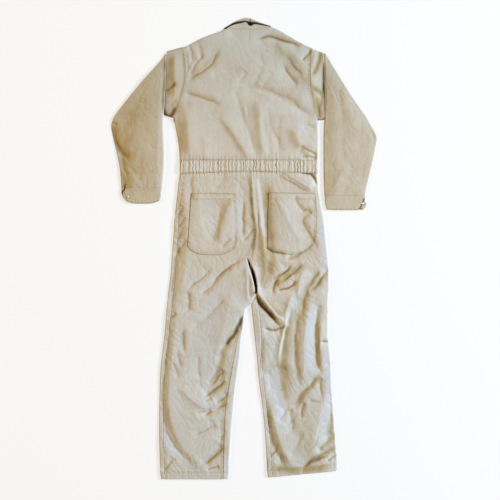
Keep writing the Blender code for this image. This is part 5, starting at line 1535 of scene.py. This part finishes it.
def seams():
    """Every seam with its rows of stitching, each so far to the left of its path."""
    legs = ["leg_back_left", "leg_back_right", "leg_front_left", "leg_front_right"]
    sides = BACK_LEFT_SIDE[0][0] + 4, BACK_RIGHT_SIDE[0][0] - 4
    twin, twin_right = (1.6, 6.8), (-1.6, -6.8)
    made = [
        Seam("seat", legs, SEAT_SEAM, (-1.4, -6.6)),
        Seam("outside_leg", legs, LEFT_OUTSEAM, twin),
        Seam("inside_leg_left", legs, LEFT_INSEAM, twin_right),
        Seam("inside_leg_right", legs, RIGHT_INSEAM, twin),
        Seam("armhole_left", ["back"], LEFT_ARMHOLE, twin_right),
        Seam("armhole_right", ["back"], RIGHT_ARMHOLE, twin),
        Seam("waist_top", ["back"], level_line(*sides, WAIST_TOP), (1.4,)),
        Seam("waist_bottom", legs, level_line(*sides, WAIST_SEAM, WAIST_FALL), (-1.4,)),
        Seam("neck", ["back"], neck_line(), (-2.0,)),
        Seam("hem_left", legs, hem_line(LEFT_LEG, HEM_DEPTH), (0.0,)),
        Seam("hem_right", legs, hem_line(RIGHT_LEG, HEM_DEPTH), (0.0,)),
    ]
    for rise in (3, 37):
        line = level_line(*sides, WAIST_SEAM + rise, WAIST_FALL * (1 - rise / (WAIST_TOP - WAIST_SEAM)))
        made.append(Seam(f"elastic_{rise}", ["waistband"], line, (0.0,)))
    for name, outline in (("left", LEFT_POCKET), ("right", RIGHT_POCKET)):
        pieces = [f"pocket_{name}"]
        made.append(Seam(f"pocket_{name}", pieces, pocket_round(outline), (1.8, 6.8)))
        made.append(Seam(f"pocket_mouth_{name}", pieces, outline["top"], (-2.0, -22.0)))
    for name, table in (("left", LEFT_CUFF), ("right", RIGHT_CUFF)):
        line = cuff_line(table, table[0].y - table[-1].y - 2.4)
        made.append(Seam(f"cuff_{name}", [f"cuff_{name}"], line, (0.0,)))
    return made


def beside(path, away):
    """A finer line along a path, this far to its left."""
    line = smooth_line(path, 10)
    ahead = np.gradient(line, axis=0)
    ahead /= np.linalg.norm(ahead, axis=1)[:, None] + 1e-9
    return line + away * np.stack([-ahead[:, 1], ahead[:, 0]], -1)


def cloth_trees():
    """A search tree of each piece of cloth, by the piece's name."""
    graph = bpy.context.evaluated_depsgraph_get()
    return {
        made.name.removeprefix("cloth_"): BVHTree.FromObject(made, graph)
        for made in bpy.context.scene.objects if made.name.startswith("cloth_")
    }


def top_of_cloth(trees, x, y):
    """(point, piece) of the uppermost cloth over a place, in metres, or None off the suit."""
    start = Vector((x * MM, y * MM, 0.1))
    best = None
    for name, tree in trees.items():
        hit = tree.ray_cast(start, Vector((0, 0, -1)))[0]
        if hit is not None and (best is None or hit.z > best[0].z):
            best = (Vector((start.x, start.y, hit.z)), name)
    return best


def add_stitch(mesh, pieces, trees, head, tail):
    """A short length of thread between two places, where the seam's own pieces are on top."""
    ends = [top_of_cloth(trees, *place) for place in (head, tail)]
    if any(end is None or end[1] not in pieces for end in ends):
        return
    (a, _), (b, _) = ends
    if abs(a.z - b.z) > STITCH_LENGTH * MM:
        return
    turn = (b - a).to_track_quat("Z", "X").to_matrix().to_4x4()
    bmesh.ops.create_cone(
        mesh, cap_ends=True, segments=5, radius1=STITCH_RADIUS * MM, radius2=STITCH_RADIUS * MM,
        depth=(b - a).length, matrix=Matrix.Translation((a + b) / 2) @ turn,
    )


def sew(seam, trees):
    """The stitches of one seam, as short lengths of thread on the cloth."""
    mesh = bmesh.new()
    for away in seam.rows:
        line = beside(seam.path, away)
        total = lengths_along(line)[-1]
        starts = (np.arange(int(total / STITCH_GAP)) + 0.3) * STITCH_GAP / total
        for head, tail in zip(along(line, starts), along(line, starts + STITCH_LENGTH / total)):
            add_stitch(mesh, seam.pieces, trees, head, tail)
    made = mesh_object(f"stitching_{seam.name}", mesh)
    made.data.materials.append(thread())
    finish_piece(made)


def mesh_object(name, mesh):
    data = bpy.data.meshes.new(name)
    mesh.to_mesh(data)
    mesh.free()
    data.shade_smooth()
    made = bpy.data.objects.new(name, data)
    bpy.context.scene.collection.objects.link(made)
    return made


def turned_piece(name, profile, x, y, z):
    """A round piece turned from its profile of (radius, height) in millimetres."""
    mesh = bmesh.new()
    ring = [mesh.verts.new(Vector((radius, 0, height)) * MM) for radius, height in profile]
    edges = [mesh.edges.new(pair) for pair in zip(ring, ring[1:])]
    bmesh.ops.spin(
        mesh, geom=[*ring, *edges], cent=(0, 0, 0), axis=(0, 0, 1), angle=2 * math.pi, steps=40,
        use_merge=True,
    )
    bmesh.ops.remove_doubles(mesh, verts=mesh.verts, dist=1e-6)
    bmesh.ops.translate(mesh, verts=mesh.verts, vec=Vector((x, y, z)) * MM)
    bmesh.ops.recalc_face_normals(mesh, faces=mesh.faces)
    return mesh_object(name, mesh)


def add_snap(name, x, y, z):
    """A pearl cap in its metal rim, as wide as the stud it stands for."""
    low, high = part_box(f"snap_{name}")
    radius = (high[0] - low[0]) / 2 / MM
    rim = turned_piece(f"snap_rim_{name}", [
        (0, 0), (radius - 0.4, 0), (radius, 0.3), (radius, 0.8), (radius - 0.35, 1.2), (radius - 0.9, 1.25),
        (radius - 1.1, 0.9), (0, 0.9),
    ], x, y, z)
    rim.data.materials.append(nickel())
    finish_piece(rim)
    cap = turned_piece(f"snap_cap_{name}", [
        (0, 0.85), (radius - 1.1, 0.85), (radius - 1.15, 1.3), (radius - 1.6, 1.55), (radius - 2.6, 1.72),
        (0, 1.8),
    ], x, y, z)
    cap.data.materials.append(pearl())
    finish_piece(cap, [f"snap_{name}"])


def add_snaps():
    """The snap on each cuff."""
    for name, (x, y), height in (
        ("left", LEFT_SNAP, left_cuff_height), ("right", RIGHT_SNAP, right_cuff_height),
    ):
        add_snap(name, x, y, height(np.array([x]), np.array([y]))[0] + 0.1)


# ---- finishes


def finish(name):
    """Names a finish, and makes it once, when it is first asked for."""
    def named(build):
        def asked():
            if name not in bpy.data.materials:
                made = bpy.data.materials.new(name)
                made.use_nodes = True
                build(made.node_tree, made.node_tree.nodes["Principled BSDF"])
            return bpy.data.materials[name]

        return asked

    return named


def set_inputs(made, values):
    for key, value in values.items():
        made.inputs[key].default_value = value


def node(tree, kind, inputs=None, **settings):
    made = tree.nodes.new(kind)
    for key, value in settings.items():
        setattr(made, key, value)
    set_inputs(made, inputs or {})
    return made


def noise_by_place(tree, scale, detail, roughness=0.5, distortion=0.0):
    """Noise through a piece, by the place on it."""
    place = node(tree, "ShaderNodeTexCoord")
    made = node(tree, "ShaderNodeTexNoise", {
        "Scale": scale, "Detail": detail, "Roughness": roughness, "Distortion": distortion,
    })
    tree.links.new(place.outputs["Object"], made.inputs["Vector"])
    return made.outputs["Fac"]


def bumped(tree, height, strength, distance):
    """A bump node that follows a height."""
    made = node(tree, "ShaderNodeBump", {"Strength": strength, "Distance": distance})
    tree.links.new(height, made.inputs["Height"])
    return made


def mix_colour(tree, factor, a, b, blend="MIX"):
    """A mix of two colours, either of which may be a socket."""
    made = tree.nodes.new("ShaderNodeMix")
    made.data_type = "RGBA"
    made.blend_type = blend
    for index, value in ((0, factor), (6, a), (7, b)):
        if isinstance(value, bpy.types.NodeSocket):
            tree.links.new(value, made.inputs[index])
        else:
            made.inputs[index].default_value = value
    return made.outputs[2]


def multiplied(tree, a, b):
    made = node(tree, "ShaderNodeMath", operation="MULTIPLY")
    tree.links.new(a, made.inputs[0])
    tree.links.new(b, made.inputs[1])
    return made.outputs[0]


def spread_to(tree, socket, low, high, to_low=0.0, to_high=1.0):
    """The socket's values from low to high, mapped onto another range."""
    made = node(tree, "ShaderNodeMapRange", {1: low, 2: high, 3: to_low, 4: to_high})
    tree.links.new(socket, made.inputs[0])
    return made.outputs[0]


def tint(colour, by, warm=0.0):
    """A colour made lighter or darker, and warmer or cooler."""
    red, green, blue = colour
    return (red * by * (1 + warm), green * by, blue * by * (1 - 1.6 * warm), 1.0)


def twill_ribs(tree):
    """Fine diagonal ribs, which run along the cloth's own map."""
    place = node(tree, "ShaderNodeTexCoord")
    ribs = node(
        tree, "ShaderNodeTexWave", {"Scale": 698.0, "Distortion": 0.6, "Detail": 1.0, "Detail Scale": 0.4},
        wave_type="BANDS", bands_direction="DIAGONAL",
    )
    tree.links.new(place.outputs["UV"], ribs.inputs["Vector"])
    return ribs.outputs["Fac"]


def woven_colour(tree, ribs, slubs):
    """The washed colour of the cloth, with its flecks, ribs and slubs."""
    colour = bpy.context.scene.suit_cloth.colour
    washed = noise_by_place(tree, 9.0, 4.0, roughness=0.55)
    flecks = noise_by_place(tree, 520.0, 3.0, roughness=0.7)
    base = mix_colour(
        tree, spread_to(tree, washed, 0.36, 0.64),
        tint(colour, 0.95, 0.015), tint(colour, 1.04, -0.01),
    )
    tone = multiplied(
        tree, spread_to(tree, flecks, 0.3, 0.7, 0.90, 1.06),
        spread_to(tree, ribs, 0.0, 1.0, 0.95, 1.03),
    )
    tone = multiplied(tree, tone, spread_to(tree, slubs, 0.35, 0.65, 0.975, 1.02))
    grey = node(tree, "ShaderNodeCombineColor")
    for index in range(3):
        tree.links.new(tone, grey.inputs[index])
    return mix_colour(tree, 1.0, base, grey.outputs[0], "MULTIPLY")


def painted_falloff_colour(tree, base):
    """Painted shade and light along the suit: a little greyer toward the shoulders and cooler toward the
    hems.
    """
    place = node(tree, "ShaderNodeTexCoord")
    along_suit = node(tree, "ShaderNodeSeparateXYZ")
    tree.links.new(place.outputs["Object"], along_suit.inputs[0])
    for low, high, falloff_tint in ((0.32, 0.74, (0.86, 0.90, 0.93, 1.0)), (0.0, -0.35, (0.985, 1.04, 1.12, 1.0))):
        share = spread_to(tree, along_suit.outputs["Y"], low, high)
        falloff_mix = mix_colour(tree, share, (1.0, 1.0, 1.0, 1.0), falloff_tint)
        base = mix_colour(tree, 1.0, base, falloff_mix, "MULTIPLY")
    return base


def shaded_colour(tree, base):
    """Painted shade and light: browner and darker by the cloth's shade, or cooler and lighter where that is
    below 0.
    """
    shade = node(tree, "ShaderNodeAttribute", attribute_name="shade").outputs["Fac"]
    lit = spread_to(tree, shade, 0.0, -1.0)
    base = mix_colour(tree, lit, base, LIT_COLOUR)
    depth = node(tree, "ShaderNodeValToRGB")
    ramp = depth.color_ramp
    ramp.elements[0].color = (1.0, 1.0, 1.0, 1.0)
    ramp.elements[1].color = DARKEST
    for stop, brown in SHADE_BROWNS:
        ramp.elements.new(stop).color = brown
    tree.links.new(shade, depth.inputs["Fac"])
    return mix_colour(tree, 1.0, base, depth.outputs["Color"], "MULTIPLY")


@finish("stone twill")
def twill(tree, shader):
    """Stone cotton twill: fine diagonal ribs, a washed unevenness, and painted shade, darker in the deepest
    gaps, with painted highlights where the cloth is lit.
    """
    ribs = twill_ribs(tree)
    slubs = noise_by_place(tree, 120.0, 2.0)
    base = woven_colour(tree, ribs, slubs)
    base = shaded_colour(tree, painted_falloff_colour(tree, base))
    tree.links.new(base, shader.inputs["Base Color"])
    tree.links.new(spread_to(tree, slubs, 0.3, 0.7, 0.80, 0.92), shader.inputs["Roughness"])
    set_inputs(shader, {
        "Sheen Weight": 0.12, "Sheen Roughness": 0.6, "Sheen Tint": (0.9, 0.88, 0.82, 1.0),
        "Specular IOR Level": 0.22,
    })
    ribbed = bumped(tree, ribs, 0.45, 0.00012)
    slubbed = bumped(tree, slubs, 0.5, 0.0005)
    tree.links.new(ribbed.outputs["Normal"], slubbed.inputs["Normal"])
    tree.links.new(slubbed.outputs["Normal"], shader.inputs["Normal"])


@finish("spun thread")
def thread(tree, shader):
    """Spun thread, a little lighter than the cloth."""
    fibres = noise_by_place(tree, 1800.0, 2.0)
    colour = bpy.context.scene.suit_cloth.thread_colour
    base = mix_colour(tree, fibres, tint(colour, 0.86), tint(colour, 1.1))
    tree.links.new(base, shader.inputs["Base Color"])
    fuzz = bumped(tree, fibres, 0.4, 0.00008)
    tree.links.new(fuzz.outputs["Normal"], shader.inputs["Normal"])
    set_inputs(shader, {"Roughness": 0.6, "Sheen Weight": 0.2})


@finish("pearl cap")
def pearl(tree, shader):
    """Pearl plastic with faint swirls under a clear coat."""
    swirl = noise_by_place(tree, 260.0, 3.0, distortion=1.6)
    swirl = spread_to(tree, swirl, 0.35, 0.65)
    base = mix_colour(tree, swirl, (0.74, 0.73, 0.68, 1.0), (0.90, 0.89, 0.86, 1.0))
    tree.links.new(base, shader.inputs["Base Color"])
    set_inputs(shader, {"Roughness": 0.28, "Coat Weight": 0.7, "Coat Roughness": 0.12})


@finish("nickel rim")
def nickel(tree, shader):
    """Dull nickel plate, finely scratched."""
    scratches = noise_by_place(tree, 900.0, 4.0)
    tree.links.new(spread_to(tree, scratches, 0.3, 0.7, 0.28, 0.48), shader.inputs["Roughness"])
    set_inputs(shader, {"Base Color": (0.62, 0.60, 0.56, 1.0), "Metallic": 1.0})


@finish("pale paper")
def paper(tree, shader):
    """Plain pale paper for the floor, which glows a little."""
    tooth = noise_by_place(tree, 300.0, 2.0)
    colour = bpy.context.scene.suit_stage.floor_colour
    base = mix_colour(tree, tooth, tint(colour, 0.995), tint(colour, 1.0))
    tree.links.new(base, shader.inputs["Base Color"])
    set_inputs(shader, {
        "Roughness": 0.95, "Specular IOR Level": 0.1, "Emission Color": (1.0, 0.99, 0.97, 1.0),
        "Emission Strength": 0.70,
    })


# ---- stage


def add_floor():
    """A plain square of paper, just below the suit."""
    mesh = bmesh.new()
    bmesh.ops.create_grid(mesh, x_segments=4, y_segments=4, size=FLOOR_REACH)
    bmesh.ops.translate(mesh, verts=mesh.verts, vec=(0, 0, -FLOOR_DROP))
    floor = mesh_object("floor", mesh)
    floor.data.materials.append(paper())


def add_softbox(name, place, size, power, colour):
    """A square soft light that faces the suit."""
    lamp = bpy.data.lights.new(name, "AREA")
    lamp.shape = "SQUARE"
    lamp.size = size
    lamp.energy = power
    lamp.color = colour
    made = bpy.data.objects.new(name, lamp)
    made.location = place
    made.rotation_euler = (-Vector(place)).to_track_quat("-Z", "Y").to_euler()
    bpy.context.scene.collection.objects.link(made)


def add_lights():
    look = bpy.context.scene.suit_stage
    add_softbox("key light", KEY_PLACE, KEY_SIZE, look.key_power, look.key_colour)
    add_softbox("fill light", FILL_PLACE, FILL_SIZE, look.fill_power, look.fill_colour)
    world = bpy.data.worlds.new("room")
    world.use_nodes = True
    sky = world.node_tree.nodes["Background"]
    set_inputs(sky, {"Color": (*look.room_colour, 1.0), "Strength": look.room_strength})
    bpy.context.scene.world = world
    bpy.context.scene.view_settings.view_transform = "Standard"


def add_camera():
    """The camera, straight above the suit."""
    camera = bpy.data.cameras.new("camera")
    camera.lens = 50
    camera.sensor_width = 36
    made = bpy.data.objects.new("camera", camera)
    made.location = CAMERA_PLACE
    bpy.context.scene.collection.objects.link(made)
    bpy.context.scene.camera = made


# ---- add-on


class SuitCloth(bpy.types.PropertyGroup):
    """Cloth of the boiler suit."""

    thickness: FloatProperty(
        name="Cloth thickness", description="Thickness of the twill with its turnings", default=0.00075,
        min=0.0003, max=0.0015, precision=5, unit="LENGTH",
    )
    crease: FloatProperty(
        name="Crease depth", description="How many times the depths in the tables the creases are",
        default=2.1, min=0.0, max=4.0, subtype="FACTOR",
    )
    colour: FloatVectorProperty(
        name="Cloth colour", description="Colour of the twill", default=(0.622, 0.545, 0.428), min=0, max=1,
        subtype="COLOR",
    )
    thread_colour: FloatVectorProperty(
        name="Thread colour", description="Colour of the stitching", default=(0.60, 0.56, 0.44), min=0, max=1,
        subtype="COLOR",
    )


class SuitStage(bpy.types.PropertyGroup):
    """Floor and light round the boiler suit."""

    floor_colour: FloatVectorProperty(
        name="Floor colour", description="Colour of the paper floor", default=(0.26, 0.26, 0.26),
        min=0, max=1, subtype="COLOR",
    )
    key_power: FloatProperty(
        name="Key power", description="Power of the light from the right", default=956, min=0, unit="POWER",
    )
    key_colour: FloatVectorProperty(
        name="Key colour", description="Colour of the light from the right", default=(0.60, 0.75, 1.0),
        min=0, max=1, subtype="COLOR",
    )
    fill_power: FloatProperty(
        name="Fill power", description="Power of the light from the left", default=122.0, min=0, unit="POWER",
    )
    fill_colour: FloatVectorProperty(
        name="Fill colour", description="Colour of the light from the left", default=(1.0, 0.64, 0.12),
        min=0, max=1, subtype="COLOR",
    )
    room_strength: FloatProperty(
        name="Room light", description="Strength of the light from all round", default=0.17, min=0, max=3,
        subtype="FACTOR",
    )
    room_colour: FloatVectorProperty(
        name="Room colour", description="Colour of the light from all round", default=(1.0, 0.88, 0.52),
        min=0, max=1, subtype="COLOR",
    )


class SUIT_OT_legs(bpy.types.Operator):
    """Add the four leg panels with their folds"""

    bl_idname = "suit.legs"
    bl_label = "Add legs"

    def execute(self, context):
        add_legs()
        return {"FINISHED"}


class SUIT_OT_body(bpy.types.Operator):
    """Add the upper back, the fronts and their strip"""

    bl_idname = "suit.body"
    bl_label = "Add body"

    def execute(self, context):
        add_back()
        add_fronts()
        return {"FINISHED"}


class SUIT_OT_waistband(bpy.types.Operator):
    """Add the gathered back waistband"""

    bl_idname = "suit.waistband"
    bl_label = "Add waistband"

    def execute(self, context):
        add_waistband()
        return {"FINISHED"}


class SUIT_OT_sleeves(bpy.types.Operator):
    """Add the sleeves, folded down at the shoulders"""

    bl_idname = "suit.sleeves"
    bl_label = "Add sleeves"

    def execute(self, context):
        add_sleeves()
        add_heads()
        return {"FINISHED"}


class SUIT_OT_cuffs(bpy.types.Operator):
    """Add the cuffs and their snaps"""

    bl_idname = "suit.cuffs"
    bl_label = "Add cuffs"

    def execute(self, context):
        add_cuffs()
        add_snaps()
        return {"FINISHED"}


class SUIT_OT_pockets(bpy.types.Operator):
    """Add the patch pockets on the back legs"""

    bl_idname = "suit.pockets"
    bl_label = "Add pockets"

    def execute(self, context):
        add_pockets()
        return {"FINISHED"}


class SUIT_OT_collar(bpy.types.Operator):
    """Add the stand collar"""

    bl_idname = "suit.collar"
    bl_label = "Add collar"

    def execute(self, context):
        add_collar()
        return {"FINISHED"}


class SUIT_OT_stitching(bpy.types.Operator):
    """Add the rows of stitching along the seams"""

    bl_idname = "suit.stitching"
    bl_label = "Add stitching"

    def execute(self, context):
        trees = cloth_trees()
        for seam in seams():
            sew(seam, trees)
        return {"FINISHED"}


class SUIT_OT_stage(bpy.types.Operator):
    """Add the floor, the lights and the camera"""

    bl_idname = "suit.stage"
    bl_label = "Add stage"

    def execute(self, context):
        add_floor()
        add_lights()
        add_camera()
        return {"FINISHED"}


OPERATORS = (
    SUIT_OT_legs, SUIT_OT_body, SUIT_OT_waistband, SUIT_OT_sleeves, SUIT_OT_cuffs, SUIT_OT_pockets,
    SUIT_OT_collar, SUIT_OT_stitching, SUIT_OT_stage,
)


class SUIT_PT_panel(bpy.types.Panel):
    """The boiler suit's sizes, colours and pieces"""

    bl_idname = "SUIT_PT_panel"
    bl_label = "Boiler suit"
    bl_space_type = "VIEW_3D"
    bl_region_type = "UI"
    bl_category = "Boiler suit"

    def draw(self, context):
        for group in (context.scene.suit_cloth, context.scene.suit_stage):
            column = self.layout.column(align=True)
            for name in group.__annotations__:
                column.prop(group, name)
        for operator in OPERATORS:
            self.layout.operator(operator.bl_idname)


CLASSES = (SuitCloth, SuitStage, *OPERATORS, SUIT_PT_panel)


def register():
    for item in CLASSES:
        bpy.utils.register_class(item)
    bpy.types.Scene.suit_cloth = PointerProperty(type=SuitCloth)
    bpy.types.Scene.suit_stage = PointerProperty(type=SuitStage)


def unregister():
    del bpy.types.Scene.suit_stage
    del bpy.types.Scene.suit_cloth
    for item in reversed(CLASSES):
        bpy.utils.unregister_class(item)


def main():
    register()
    bpy.ops.suit.legs()
    bpy.ops.suit.body()
    bpy.ops.suit.waistband()
    bpy.ops.suit.sleeves()
    bpy.ops.suit.cuffs()
    bpy.ops.suit.pockets()
    bpy.ops.suit.collar()
    bpy.ops.suit.stitching()
    bpy.ops.suit.stage()


if __name__ == "__main__":
    main()
